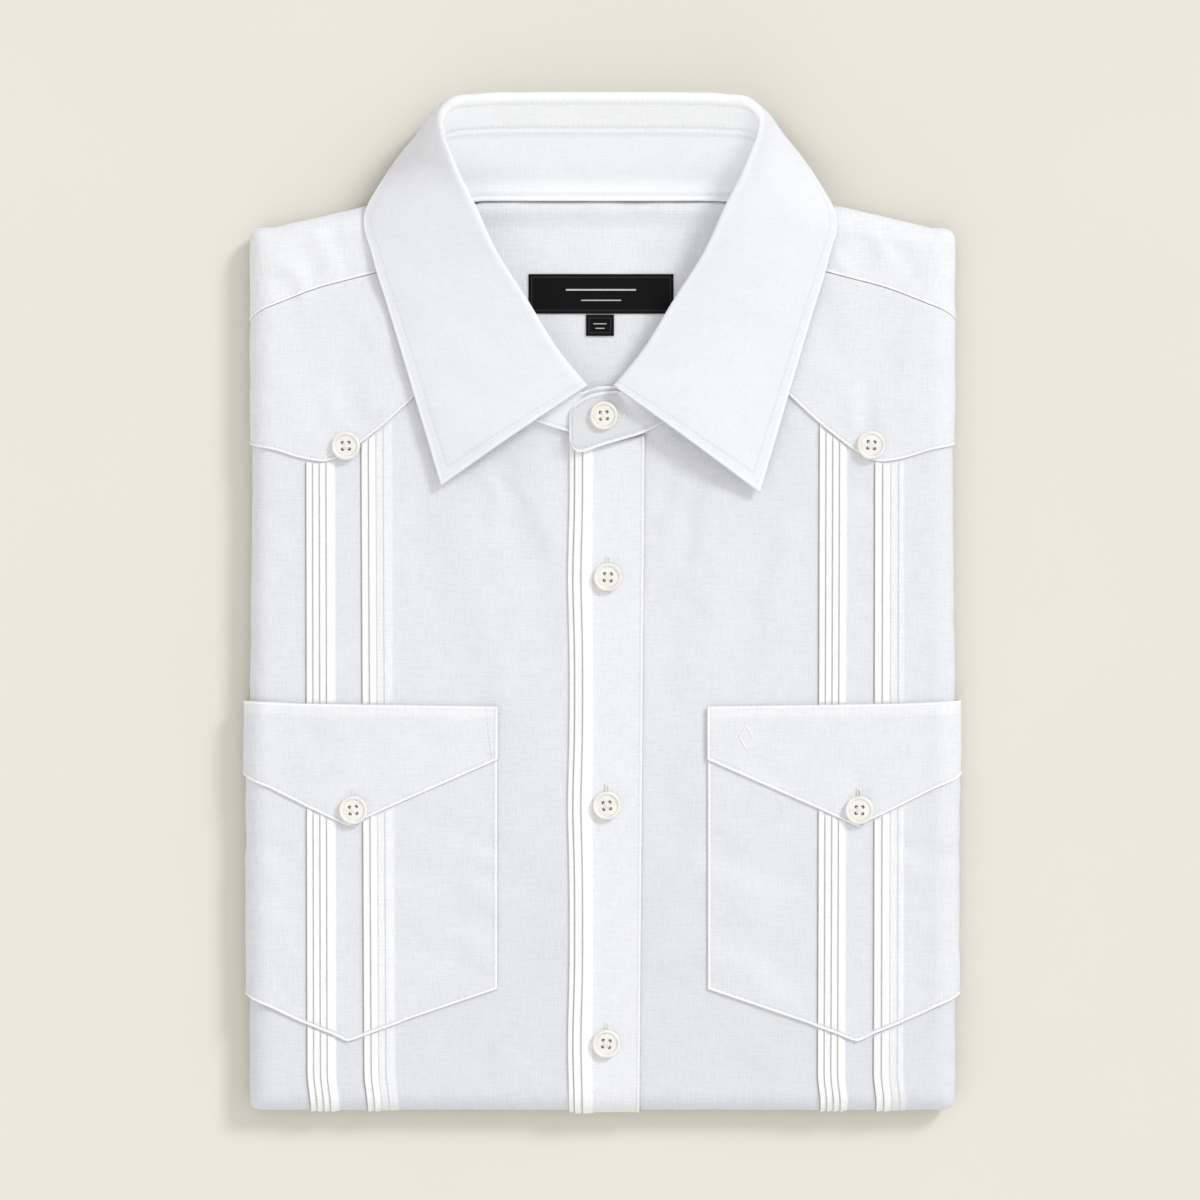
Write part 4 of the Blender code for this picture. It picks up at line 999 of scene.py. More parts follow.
def make_front_yoke(side, name):
    """One pointed front yoke, over the top of the front and up to the shoulder seam."""
    s = across_side(side, YOKE_FROM, 1.7 * MM)
    edge, seam = yoke_edge(s), shoulder_seam(s) - 0.1 * MM
    t = edge + share_steps(60 * MM, 1.5 * MM) * (seam - edge)
    from_edge = (t - edge) * square_to(edge, s)
    s = np.broadcast_to(s, t.shape)
    under = SECOND_OUT + pressed_relief(s, t) - DOUBLE_WALL
    upper = under + (yoke_out(s, t, from_edge, seam) - under) * rim(from_edge)
    painted_shade = edge_shade(from_edge, groove_at(YOKE_BEAD_WIDTH))
    return body_piece(name, s, t, upper, under, turned_white(0.33, from_edge), painted_shade)


def shoulder_out(s, t, from_seam):
    """A shoulder of the back yoke, its edge turned and stitched along the seam."""
    return SHOULDER_OUT + pressed_relief(s, t) + bead(from_seam, YOKE_BEAD_HEIGHT, YOKE_BEAD_WIDTH)


def make_shoulder_yoke(side, name):
    """One shoulder of the back yoke, from its turned seam on the front over the shoulder's edge."""
    s = across_side(side, YOKE_FROM, 1.7 * MM)
    seam = shoulder_seam(s) + 0.1 * MM
    end = top_flat(np.minimum(np.abs(s), SIDE_FLAT)) + EDGE_RADIUS * WRAP_END
    t = seam + share_steps(50 * MM, 1.4 * MM, False) * (end - seam)
    from_seam = t - seam
    s = np.broadcast_to(s, t.shape)
    under = SHOULDER_OUT + pressed_relief(s, t) - DOUBLE_WALL
    upper = under + (shoulder_out(s, t, from_seam) - under) * rim(from_seam)
    painted_shade = 0.5 * edge_shade(from_seam, groove_at(YOKE_BEAD_WIDTH))
    return body_piece(name, s, t, upper, under, turned_white(0.46, from_seam), painted_shade)


def side_bulge(s):
    """The pockets stand off the side edge a little."""
    return 0.75 * MM * smooth_step((np.abs(s) - SIDE_FLAT + 6 * MM) / (10 * MM))


def pocket_base(s, t):
    """A pocket without its tucks and edges."""
    return SECOND_OUT + pressed_relief(s, t) + side_bulge(s)


def pocket_edge_white(from_edge):
    """1 on the turned edge of a pocket or its flap, and 0 inside it."""
    return smooth_step((1.35 * MM - from_edge) / (0.4 * MM))


def make_pocket(side, name):
    """One chest pocket, round the side's edge, its tucks in line with the front's below the flap."""
    at_yoke = across_side(side, POCKET_INNER_EDGE, 1.7 * MM, True, folds_of(side))
    low, high = pocket_edge(at_yoke), along(POCKET_TOP, at_yoke) - 1.2 * MM
    t = low + share_steps(128 * MM, 1.55 * MM, False) * (high - low)
    from_low = (t - low) * square_to(low, at_yoke)
    s = at_yoke + fold_move(at_yoke, t)
    at_yoke = np.broadcast_to(at_yoke, t.shape)
    shows = clear_of(along(FLAP_EDGE, s) - t)
    from_inner = np.abs(at_yoke) - POCKET_INNER_EDGE
    from_edge = np.minimum(from_low, from_inner)
    ribs = np.maximum(bead(from_low), bead(from_inner, 0.2 * MM)) * shows
    ribs = np.where(from_edge < EDGE_STEPS[-1], ribs, 0)
    pressed = smooth_step((from_low - 1.3 * MM) / (0.9 * MM))
    raised, strips, painted_shade = (part * shows for part in tucks(at_yoke))
    under = pocket_base(s, t) - DOUBLE_WALL
    out = under + DOUBLE_WALL + TUCK_HEIGHT * raised * (0.3 + 0.7 * pressed) + ribs
    upper = under + (out - under) * rim(from_edge)
    white = np.maximum(0.17 + 0.83 * strips * pressed, pocket_edge_white(from_edge))
    return body_piece(name, s, t, upper, under, white, painted_shade * pressed + edge_shade(from_edge, groove_at()))


def make_pocket_flap(side, name):
    """The pointed flap across a pocket's top, its edges turned and stitched.  A slanting bar of stitches
    holds the left one's inner corner."""
    point = 101.4 + np.array([-1.0, -0.5, -0.2, 0, 0.2, 0.5, 1.0])
    bar = POCKET_INNER_EDGE / MM + np.arange(2.6, 5.4, 0.2)
    s = across_side(side, FLAP_INNER_EDGE, 1.6 * MM)
    s = np.unique(np.concatenate([s, side * point * MM, side * bar * MM]))
    low, high = flap_edge(s), along(POCKET_TOP, s) + 0.2 * MM
    t = low + share_steps(38 * MM, 1.4 * MM) * (high - low)
    from_low, from_top, from_inner = (t - low) * square_to(low, s), high - t, np.abs(s) - FLAP_INNER_EDGE
    s = np.broadcast_to(s, t.shape)
    from_edge = np.minimum(np.minimum(from_low, from_top), from_inner)
    ribs = np.maximum(np.maximum(bead(from_low), bead(from_top, 0.16 * MM)), bead(from_inner, 0.16 * MM))
    ribs = np.where(from_edge < EDGE_STEPS[-1], ribs, 0)
    under = pocket_base(s, t) + FLAP_OUT - SECOND_OUT - DOUBLE_WALL
    upper = under + (DOUBLE_WALL + ribs) * rim(from_edge)
    doubled = 0.3 - 0.08 * (side < 0) * smooth_step((np.abs(s) - 85 * MM) / (35 * MM))
    doubled = doubled + 0.26 * smooth_step((6 * MM - from_top) / (2.5 * MM))
    white = np.maximum(doubled, pocket_edge_white(from_edge))
    # Painted shade at the flap's edges, and on the left flap a painted shade line along the slanting bar of
    # stitches
    painted_shade = edge_shade(np.minimum(from_low, from_inner), groove_at()) + 0.3 * bell(from_top, 0.24 * MM)
    if side < 0:
        within = (from_low > 2 * MM) * (from_top > BEAD_WIDTH)
        painted_shade = painted_shade + 0.35 * bell(np.abs(s) - flap_bar(t), 0.22 * MM) * within
    return body_piece(name, s, t, upper, under, white, painted_shade)


def flap_bar(t):
    """|s| of the slanting row of stitches that holds the left flap's top inner corner."""
    return POCKET_INNER_EDGE + np.interp(t, (-60 * MM, -42 * MM), (2.6 * MM, 4.6 * MM))


def make_inner_back_yoke():
    """The inside of the back yoke, seen through the neck: it rises to the seam at the stand's foot."""
    s = np.linspace(-68, 68, 92) * MM
    low, high = along(NECK_FRONT, s) + 0.6 * MM, along(NECK_BACK, s) - 0.3 * MM
    t = low + np.linspace(0, 1, 66)[:, None] * (high - low)
    s = np.broadcast_to(s, t.shape)
    sewn = smooth_step((t - high + 10 * MM) / (10 * MM))
    out = FRONT_OUT + 0.16 * MM * undulation(s, t, 31, 26 * MM) + 2.4 * MM * sewn
    return body_piece("inner_back_yoke", s, t, out, out - SINGLE_WALL, 0.4, slot="cloth", lifted=False)


def make_label(name, corners, rules, out):
    """A woven label on the inside of the yoke, its edges turned and its cloth a little uneven."""
    left, right, low, high = corners
    s, t = np.meshgrid(left + steps(right - left, 1.2 * MM), low + steps(high - low, 1.0 * MM))
    from_edge = np.minimum(np.minimum(s - left, right - s), np.minimum(t - low, high - t))
    under = out + 0.12 * MM * undulation(s, t, 17, 22 * MM) - LABEL_WALL
    upper = under + LABEL_WALL * rim(from_edge)
    finish = label_material(name + "_black", 0.5 * (right - left) - LABEL_BORDER_INSET,
                            0.5 * (high - low) - LABEL_BORDER_INSET, rules)
    piece = shell(name + "_cloth", pillow(s, t, upper, False), pillow(s, t, under, False),
                  s - 0.5 * (left + right), t - 0.5 * (low + high), finish)
    return declare(piece, "label", name)


# ---------------------------------------------------------------- collar

def unit(vectors):
    """Vectors of the same directions and of length 1."""
    return vectors / np.linalg.norm(vectors, axis=-1, keepdims=True)


def spline(knots, values, at):
    """A smooth curve through rows of values: cubic pieces whose slopes are means of their neighbours'."""
    values = np.asarray(values)
    slopes = np.gradient(values, knots, axis=0)
    piece = np.clip(np.searchsorted(knots, at, side="right") - 1, 0, len(knots) - 2)
    shape = (-1,) + (1,) * (values.ndim - 1)
    width = (knots[piece + 1] - knots[piece]).reshape(shape)
    u = (at - knots[piece]).reshape(shape) / width
    start, end = values[piece], values[piece + 1]
    return ((2 * u ** 3 - 3 * u ** 2 + 1) * start + (u ** 3 - 2 * u ** 2 + u) * width * slopes[piece]
            + (3 * u ** 2 - 2 * u ** 3) * end + (u ** 3 - u ** 2) * width * slopes[piece + 1])


def run_of(points):
    """Mean distance along a grid's rows, as knots for a spline through them."""
    gaps = np.linalg.norm(np.diff(points, axis=0), axis=-1)
    if gaps.ndim > 1:
        gaps = gaps.mean(axis=1)
    return np.concatenate([[0], np.cumsum(gaps)])


def half_collar(side, at):
    """The collar's table at shares of the arc along the roll, as a dictionary of point arrays."""
    length = run_of(columns_of(COLLAR, "roll_x", "roll_y", "roll_z"))
    found = {}
    for key in ("roll", "seam", "base", "edge"):
        columns = columns_of(COLLAR, key + "_x", key + "_y", key + "_z")
        point = spline(length, columns, at * length[-1])
        if key == "edge":
            point[:, 1] -= side * TIP_DIFFERENCE * at ** 2  # the two points differ in length
            point[:, 2] += TIP_LIFT * smooth_step((at - 0.4) / 0.5)
        point[:, 0] = COLLAR_CENTRE + side * point[:, 0]
        found[key] = point
    return found


def whole_collar(at):
    """Both halves of the table as one run from the left end round the back to the right end."""
    left, right = half_collar(-1, at), half_collar(1, at)
    return {key: np.concatenate([left[key][:0:-1], right[key]]) for key in left}


def raised_clear(points, out, wall):
    """Points lifted off the cloth below where they would sink into it."""
    floor = height_over(points[..., 0], points[..., 1], out + 0.5 * wall)
    lift = np.maximum(floor - points[..., 2], 0)
    return np.concatenate([points[..., :2], (points[..., 2] + lift)[..., None]], axis=-1)


def fall_section(rows):
    """The solid's own section points: two from the seam up, a half circle round the roll, and four down
    the leaf to its edge."""
    roll, seam, edge = rows["roll"], rows["seam"], rows["edge"]
    to_edge, to_seam = unit(edge - roll), unit(seam - roll)
    inward, outward = unit(to_edge + to_seam), unit(to_edge - to_seam)
    centre = roll + ROLL_RADIUS * inward
    section = [seam, seam + 0.5 * (centre - ROLL_RADIUS * outward - seam)]
    for angle in np.radians([-90, -45, 0, 45, 90]):
        section.append(centre + ROLL_RADIUS * (np.sin(angle) * outward - np.cos(angle) * inward))
    start = section[-1]
    length = np.linalg.norm(edge - start, axis=-1, keepdims=True)
    for share in (0.25, 0.5, 0.75, 1.0):
        bulge = 0.045 * length * np.sin(np.pi * share)
        section.append(start + share * (edge - start) + bulge * unit(outward - inward * 0.2))
    return np.stack(section, axis=0)


def collar_wall(centre, from_edge, wall, swell):
    """A sheet of the given wall about its middle surface: thicker where swell says, round at its edges."""
    normal = unit(np.cross(np.gradient(centre, axis=1), np.gradient(centre, axis=0)))
    half = (0.5 * wall * rim(from_edge * RIM_ROUND / (0.6 * MM)) + swell)[..., None] * normal
    return centre + half, centre - half, normal


def fall_centre():
    """The fall's middle surface, as rows from its free edge up over the roll and down inside to its seam."""
    at = np.concatenate([np.linspace(0, 0.97, 121), np.linspace(0.974, 0.992, 16),
                         [0.994, 0.996, 0.998, 0.9993, 1.0]])
    control = fall_section(whole_collar(at))
    knots = run_of(control)
    fine = knots[-1] - EDGE_STEPS[::-1]
    even = np.concatenate([np.linspace(0, fine[0], 46)[:-1], fine])
    ditches = np.array([SEAM_STITCH_INSET, INNER_STITCH_INSET, knots[-1] - TOPSTITCH_INSET])
    down = with_more_at(even, ditches, DITCH_STEPS, 0.04 * MM)
    centre = spline(knots, control, down)
    leaf = smooth_step((down - 0.35 * knots[-1]) / (0.3 * knots[-1]))[:, None]
    centre[..., 2] += 0.35 * MM * leaf * undulation(centre[..., 0], centre[..., 1], 21, 34 * MM)
    clear = raised_clear(centre, SECOND_OUT + 0.55 * MM, COLLAR_WALL)
    past_roll = (down > 0.4 * knots[-1])[:, None, None]
    return np.where(past_roll, clear, centre)[::-1]


def collar_piece(name, centre, from_edge, swell, up, run, white, painted_shade):
    """A collar sheet about its middle surface, and what a line of stitches needs to know about it."""
    upper, under, normal = collar_wall(centre, from_edge, COLLAR_WALL, swell)
    t, s = np.meshgrid(up, run, indexing="ij")
    piece = shell(name + "_cloth", upper, under, s, t, COLLAR_COTTON, white, painted_shade)
    return (declare(piece, "double_cloth", name),
            {"upper": upper, "under": under, "normal": normal, "up": up, "run": run})


def make_collar_fall():
    """The fall, with a turned edge, a ditch for its topstitching and a few soft hollows in the leaves."""
    centre = fall_centre()
    run = run_of(np.swapaxes(centre, 0, 1))
    from_low = run_of(centre)[:, None]
    from_seam = from_low[-1] - from_low
    from_edge = np.minimum(from_low, END_SLANT * np.minimum(run, run[-1] - run)[None, :])
    swell = 0.07 * MM * smooth_step((1.6 * MM - from_edge) / (1.0 * MM))
    swell = swell - 0.09 * MM * bell(from_edge - TOPSTITCH_INSET, 0.5 * MM)
    white = 0.22 + 0.6 * smooth_step((1.3 * MM - from_edge) / (0.6 * MM))
    # Painted light: the inside of the roll near its seam is made whiter, lifting that steep face, which turns
    # away from the light
    white = np.maximum(white, smooth_step((17 * MM - from_seam) / (8 * MM)))
    # Painted shade at the fall's very edge and in the ditches of its lines of stitches
    painted_shade = 0.17 * bell(from_edge - TOPSTITCH_INSET, 0.3 * MM) + 0.5 * bell(from_edge, 0.22 * MM)
    for inset in (INNER_STITCH_INSET, SEAM_STITCH_INSET):
        painted_shade = painted_shade + 0.22 * bell(from_seam - inset, 0.3 * MM)
    return collar_piece("collar_fall", centre, np.minimum(from_edge, from_seam), swell, from_low[:, 0], run,
                        white, painted_shade)


def stand_control(rows):
    """Control points of the stand's middle surface: round the neck, with a flat end laid at each side."""
    seam, base = rows["seam"], rows["base"] - [0, 0, FOOT_DROP]
    top = seam - SEAM_LAP * unit(base - seam)
    shares = np.array([0, 0.25, 0.5, 0.75, 1])[:, None, None]
    round_neck = raised_clear(base + shares * (top - base), SECOND_OUT + 0.3 * MM, COLLAR_WALL)
    ends = []
    for end, out in ((STAND_UNDER_END, UNDER_END_OUT), (STAND_OVER_END, OVER_END_OUT)):
        low, high = columns_of(end, "base_x", "base_y"), columns_of(end, "top_x", "top_y")
        plan = low + shares * (high - low)
        height = height_over(plan[..., 0], plan[..., 1], out)
        ends.append(np.concatenate([plan, height[..., None]], axis=-1))
    return np.concatenate([ends[0][:, ::-1], round_neck, ends[1]], axis=1)


def make_collar_stand():
    """The stand, one band from its under end at the left round the back to its over end at the right.  A
    corded seam runs along its foot and fades out at the over end, and both ends are a little darker with
    painted shade, as under the collar's leaves."""
    control = stand_control(whole_collar(np.linspace(0, 1, 50)))
    knots = run_of(np.swapaxes(control, 0, 1))
    run = np.sort(np.concatenate([np.arange(0, knots[-1], 1.35 * MM), knots[-1] - EDGE_STEPS]))
    grid = np.swapaxes(spline(knots, np.swapaxes(control, 0, 1), run), 0, 1)
    knots = run_of(grid)
    up = steps(knots[-1], 1.2 * MM)
    from_low, from_over_end = up[:, None], (run[-1] - run)[None, :]
    from_edge = np.minimum(np.minimum(from_low, from_low[-1] - from_low), from_over_end)
    cord = 0.26 * MM * smooth_step((1.5 * MM - from_low) / (0.6 * MM)) - 0.08 * MM * bell(
        from_low - 2.1 * MM, 0.4 * MM)
    swell = cord * (1 - 0.75 * smooth_step((26 * MM - from_over_end) / (6 * MM)))
    # Painted shade: both ends are made less white and darker, as in the shade of the collar's leaves, and a
    # line is darkened in the groove of the stitches
    ends = smooth_step((30 * MM - from_over_end) / (6 * MM)) + smooth_step((24 * MM - run) / (6 * MM))
    ends = ends * smooth_step((from_edge - 0.9 * MM) / (0.6 * MM))
    white = (0.96 + 0.04 * smooth_step((1.7 * MM - from_low) / (0.4 * MM))) * (1 - 0.2 * ends)
    painted_shade = 0.4 * bell(from_edge - 2.3 * MM, 0.3 * MM) + 0.3 * ends
    return collar_piece("collar_stand", spline(knots, grid, up), from_edge, swell, up, run, white, painted_shade)


# ---------------------------------------------------------------- folded layers

def outline_ring(inset, height, count=420):
    """The pillow's outline moved in by inset, at one height: a closed ring of evenly spaced points with
    the solid's own rounded corners."""
    reach = EDGE_RADIUS - inset
    quarter = np.linspace(0, 0.5 * np.pi, 12)
    p, q = np.cos(quarter) ** 0.75 * reach, np.sin(quarter) ** 0.75 * reach
    lengthwise = np.linspace(-0.165, 0.095, 60)
    across = np.linspace(-118, 118, 60) * MM
    hem = np.column_stack([across, np.full_like(across, HEM_FLAT - reach)])
    top = np.column_stack([across[::-1], top_flat(np.abs(across[::-1])) + reach])
    low_corner = np.column_stack([SIDE_FLAT + hip_spread(HEM_FLAT) + p[::-1], HEM_FLAT - q[::-1]])
    right = np.column_stack([SIDE_FLAT + hip_spread(lengthwise) + reach, lengthwise])
    high_corner = np.column_stack([SIDE_FLAT + p, top_flat(np.array(SIDE_FLAT)) + q])
    mirrored = [part[::-1] * [-1, 1] for part in (high_corner, right, low_corner)]
    ring = np.concatenate([hem, low_corner, right, high_corner, top, *mirrored])
    closed = np.concatenate([ring, ring[:1]])
    length = run_of(closed)
    even = np.linspace(0, length[-1], count + 1)[:-1]
    plan = np.stack([np.interp(even, length, closed[:, axis]) for axis in (0, 1)], axis=-1)
    return np.column_stack([plan, np.full(count, height)])


def underside_relief(x, y):
    """How far the underside is hollowed, above the surface that it lies on: the two folded sides meet off
    centre, the tail is turned up over them, and creases run in from the folds."""
    left_side = smooth_step((x - (9 * MM + 0.03 * y)) / (1.2 * MM))
    tail = smooth_step((y - (-78 * MM + 0.02 * x)) / (1.2 * MM))
    sleeve = smooth_step((np.abs(x + 70 * MM - 0.05 * y) - 38 * MM) / (1.2 * MM))
    wrinkles = 0.12 * MM * (1 + undulation(x, y, 41, 30 * MM))
    return (0.45 * left_side * tail + 0.5 * tail + 0.3 * sleeve * tail * (1 - left_side)) * MM + wrinkles


def rim_rings():
    """Rings up the pillow's edge, which shows three folds of cloth, uneven in height and depth, and then
    round over its top edge."""
    profile = columns_of(RIM_PROFILE, "inset", "height")
    knots = run_of(profile)
    base = outline_ring(0, 0)
    turn = np.unwrap(np.arctan2(base[:, 1], base[:, 0]))
    wander = sum(height * MM * np.sin(waves * turn + phase)
                 for height, waves, phase in ((0.22, 3, 0.7), (0.15, 7, 2.1), (0.08, 17, 0)))
    rings = []
    for inset, height in spline(knots, profile, np.linspace(0, knots[-1], 44)):
        ring = outline_ring(inset, height)
        weight = smooth_step(height / (2 * MM)) * smooth_step((6 * MM - height) / (2 * MM))
        ring[:, 2] = np.maximum(ring[:, 2] + 1.4 * wander * weight, 0)
        rings.append(ring)
    for angle in np.radians([98, 86, 74, 62, 50, 38, 26, 14, 4]):
        rings.append(outline_ring(EDGE_RADIUS * (1 - np.sin(angle)), EDGE_RADIUS * (1 + np.cos(angle))))
    return rings


def drawn_in(ring, share, underneath):
    """A ring drawn in towards the pillow's middle, on its underside or its top."""
    middle = np.array([0, 0.5 * (SHOULDER_OUTLINE + HEM_OUTLINE)])
    plan = middle + (ring[:, :2] - middle) * share
    if underneath:
        height = underside_relief(plan[:, 0], plan[:, 1]) * smooth_step((1 - share) / 0.03)
    else:
        height = 2 * half_thickness(np.abs(plan[:, 0]), plan[:, 1])
    return np.column_stack([plan, height])


def make_folded_layers():
    """The hidden back, sleeves and tail, in one closed body of rings from the middle of the underside round
    the edge to the middle of the top."""
    rings = rim_rings()
    shares = np.concatenate([[0.985, 0.97], np.linspace(0.95, 0.02, 40)])
    below = [drawn_in(rings[0], share, True) for share in shares[::-1]]
    above = [drawn_in(rings[-1], share, False) for share in (0.97, 0.9, 0.8, 0.65, 0.5, 0.3, 0.1)]
    points = np.stack(below + rings + above)
    levels, count = points.shape[:2]
    base = outline_ring(0, 0)
    around = run_of(np.concatenate([base, base[:1]]))[:-1]
    is_underside = (np.arange(levels) < len(below))[:, None]
    cloth = np.stack([np.where(is_underside, points[..., 0], around[None, :]),
                      np.where(is_underside, points[..., 1], run_of(points)[:, None])], axis=-1)
    poles = np.stack([points[0].mean(axis=0), points[-1].mean(axis=0)])
    piece = mesh_object("folded_layers_cloth", np.concatenate([points.reshape(-1, 3), poles]),
                        ringed_faces(levels, count), COTTON,
                        np.concatenate([cloth.reshape(-1, 2), poles[:, :2]]), layers=0.28)
    return declare(piece, "cloth", "folded_layers")


# ---------------------------------------------------------------- buttons

def frame_on(s, t, out):
    """A place on the cloth and its three directions: across, lengthwise and outwards."""
    here = pillow(s, t, out)
    across = unit(pillow(s + MM, t, out) - pillow(s - MM, t, out))
    outward = unit(np.cross(across, pillow(s, t + MM, out) - pillow(s, t - MM, out)))
    return here, np.stack([across, np.cross(outward, across), outward])


def button_profile():
    """Radius and height down a turned button, and how many of them are in its flat dish: the dish, a groove,
    a round rim, and the side."""
    radii = np.concatenate([[0.35, 0.7, 0.95], np.arange(1.15, 2.66, 0.1), [2.9, 3.3, 3.7, 3.95]]) * MM
    heights = BUTTON_HEIGHT - 0.62 * MM + 0.05 * MM * np.sin(np.pi * radii / (3.95 * MM))
    return (np.concatenate([radii, BUTTON_RIM["radius"]]), np.concatenate([heights, BUTTON_RIM["height"]]),
            len(radii))


def make_button(name, s, t, out, turn):
    """One button: the profile turned about its middle, with four holes sunk in the dish as smooth pits."""
    radii, heights, dish_rings = button_profile()
    angle = np.linspace(0, 2 * np.pi, 81)[:-1] + turn
    x, y = radii[:, None] * np.cos(angle), radii[:, None] * np.sin(angle)
    hole = np.zeros_like(x)
    for place in HOLE_TURNS + turn:
        distance = np.hypot(x - HOLE_REACH * np.cos(place), y - HOLE_REACH * np.sin(place))
        hole = np.maximum(hole, smooth_step((HOLE_RADIUS + 0.1 * MM - distance) / (0.2 * MM)))
    hole[dish_rings:] = 0
    z = heights[:, None] - HOLE_DEPTH * hole
    # Painted shade: the groove round the dish and the holes are marked for the material's tan shade colour
    groove = 0.5 * bell(radii - 4.16 * MM, 0.14 * MM) * (np.arange(len(radii)) < dish_rings + 6)
    poles = np.array([[0, 0, heights[0]], [0, 0, 0]])
    place, directions = frame_on(s, t, out + BUTTON_OFF_CLOTH)
    points = place + np.concatenate([np.stack([x, y, z], axis=-1).reshape(-1, 3), poles]) @ directions
    shade = np.concatenate([np.maximum(hole, 0.35 * groove[:, None]).ravel(), [0, 0]])
    piece = mesh_object(name + "_turned", points, ringed_faces(*x.shape, flip=True), IVORY, hole=shade)
    return declare(piece, "button", name)


# ---------------------------------------------------------------- stitches

def thread_pieces(name, slot, centres, directions, normals, lengths, radius):
    """Many short stitches in one mesh: each is a tube whose section shrinks to its ends, which sink into
    the cloth.  Every stitch is the same small grid, moved into place by its own three directions."""
    count = len(centres)
    centres, directions, normals = (np.reshape(part, (count, 1, 1, 3))
                                    for part in (centres, directions, normals))
    lengths = np.broadcast_to(lengths, count)[:, None, None]
    along_axis = np.array([-1.0, -0.72, 0.0, 0.72, 1.0])[:, None]
    width = np.array([0.35, 0.9, 1.0, 0.9, 0.35])[:, None]
    sink = 0.55 - 1.5 * along_axis ** 2
    angle = np.linspace(0, 2 * np.pi, THREAD_SIDES + 1)[:-1]
    lengthwise = 0.5 * lengths * along_axis
    ring = np.cos(angle)[:, None] * np.cross(normals, directions) + np.sin(angle)[:, None] * normals
    points = (centres + lengthwise[..., None] * directions + (radius * width)[..., None] * ring
              + (radius * sink)[..., None] * normals)
    rings = len(along_axis)
    first = rings * THREAD_SIDES * np.arange(count)[:, None]
    cap = np.arange(THREAD_SIDES)
    quads = grid_quads(rings, THREAD_SIDES, True) + first[:, :, None]
    caps = np.concatenate([cap[::-1] + first, cap + (rings - 1) * THREAD_SIDES + first])
    faces = quads.reshape(-1, 4).tolist() + caps.tolist()
    cloth = np.stack(np.broadcast_arrays(lengthwise, angle * radius), axis=-1).reshape(-1, 2)
    return declare(mesh_object(name, points.reshape(-1, 3), faces, THREAD, cloth), slot)


def evenly(points, normals, pitch):
    """Centres, directions and normals of stitches at an even pitch along a line of points."""
    length = run_of(points)
    count = max(int(length[-1] / pitch), 1)
    middles = (np.arange(count) + 0.5) * length[-1] / count
    ahead = np.minimum(middles + 0.3 * pitch, length[-1])

    def at(values, place):
        """Values at a distance along the line."""
        return np.stack([np.interp(place, length, values[:, axis]) for axis in range(3)], axis=-1)

    centres = at(points, middles)
    normal = unit(at(normals, middles))
    direction = unit(at(points, ahead) - at(points, np.maximum(middles - 0.3 * pitch, 0)))
    direction = unit(direction - np.sum(direction * normal, axis=-1, keepdims=True) * normal)
    return centres, direction, normal


def seam_line(s, t, out):
    """Points and normals of a line on the cloth."""
    s, t, out = np.broadcast_arrays(s, t, out)
    points = pillow(s, t, out)
    return points, unit(pillow(s, t, out + MM) - points)


def stitched(name, lines, slot="double_cloth", stitch=SEAM_STITCH):
    """All the stitches of one piece, in one mesh."""
    pitch, length, radius = stitch
    runs = [evenly(points, normals, pitch) for points, normals in lines]
    return thread_pieces(name, slot, *(np.concatenate(part) for part in zip(*runs)), length, radius)


def yoke_stitches(side, name):
    """Along a front yoke's lower edge, and along the shoulder seam above it."""
    s = side * np.linspace(73 * MM, SIDE_FLAT + 9 * MM, 120)
    edge, seam = yoke_edge(s), shoulder_seam(s)
    inset = groove_at(YOKE_BEAD_WIDTH)
    low, high = edge + inset / square_to(edge, s), seam + 0.1 * MM + inset
    return stitched(name, [seam_line(s, low, yoke_out(s, low, inset, seam - 0.1 * MM)),
                           seam_line(s, high, shoulder_out(s, high, inset))])


def pocket_stitches(side, name):
    """Round a pocket's inner and lower edges, with the bar at its top corner, and along its flap's point."""
    s = side * np.linspace(POCKET_INNER_EDGE + groove_at(), SIDE_FLAT + 9 * MM, 140)
    low, flap_low = pocket_edge(s), flap_edge(s)
    on_flap = FLAP_OUT - SECOND_OUT - 0.1 * MM
    t = low + groove_at() / square_to(low, s)
    lines = [seam_line(s + fold_move(s, t), t, pocket_base(s, t) - 0.1 * MM)]
    rise = np.linspace(t[0], along(FLAP_EDGE, POCKET_INNER_EDGE) - MM, 80)
    inner = np.full_like(rise, side * (POCKET_INNER_EDGE + groove_at()))
    lines.append(seam_line(inner, rise, pocket_base(inner, rise) - 0.05 * MM))
    t = flap_low + groove_at() / square_to(flap_low, s)
    lines.append(seam_line(s, t, pocket_base(s, t) + on_flap))
    rise = np.linspace(-58 * MM, -42 * MM, 20)
    for leaning in (flap_bar(rise), np.full_like(rise, POCKET_INNER_EDGE + 1.4 * MM))[side > 0:]:
        lines.append(seam_line(side * leaning, rise, pocket_base(side * leaning, rise) + on_flap + 0.03 * MM))
    return stitched(name, lines)


def tuck_stitches(side, name):
    """Fine stitches beside the first fold of the flatter group of tucks, on the front and on the pocket."""
    fold = TUCK_GROUPS["first"][1 if side < 0 else 3] - 0.75 * MM
    lines = []
    for low, high, on_pocket in ((-36, 55, False), (-168, -88, True), (-192, -174, False)):
        t = np.linspace(low, high, 60) * MM
        at_yoke = np.full_like(t, fold)
        s = fold + fold_move(at_yoke, t)
        lines.append(seam_line(s, t, pocket_base(s, t) if on_pocket else front_out(at_yoke, s, t)))
    return stitched(name, lines, "cloth", TUCK_STITCH)


def placket_stitches():
    """Down the placket's right edge and beside its last tuck."""
    t = np.linspace(-197 * MM, 62 * MM, 240)
    lines = []
    for plain in (PLACKET_RIGHT - groove_at(), PLACKET_FOLDS[2] + 1.0 * MM):
        place = np.full_like(t, plain)
        s = placket_place(place, t)
        lines.append(seam_line(s, t, placket_out(place, s, t)))
    return stitched("placket_stitches", lines)


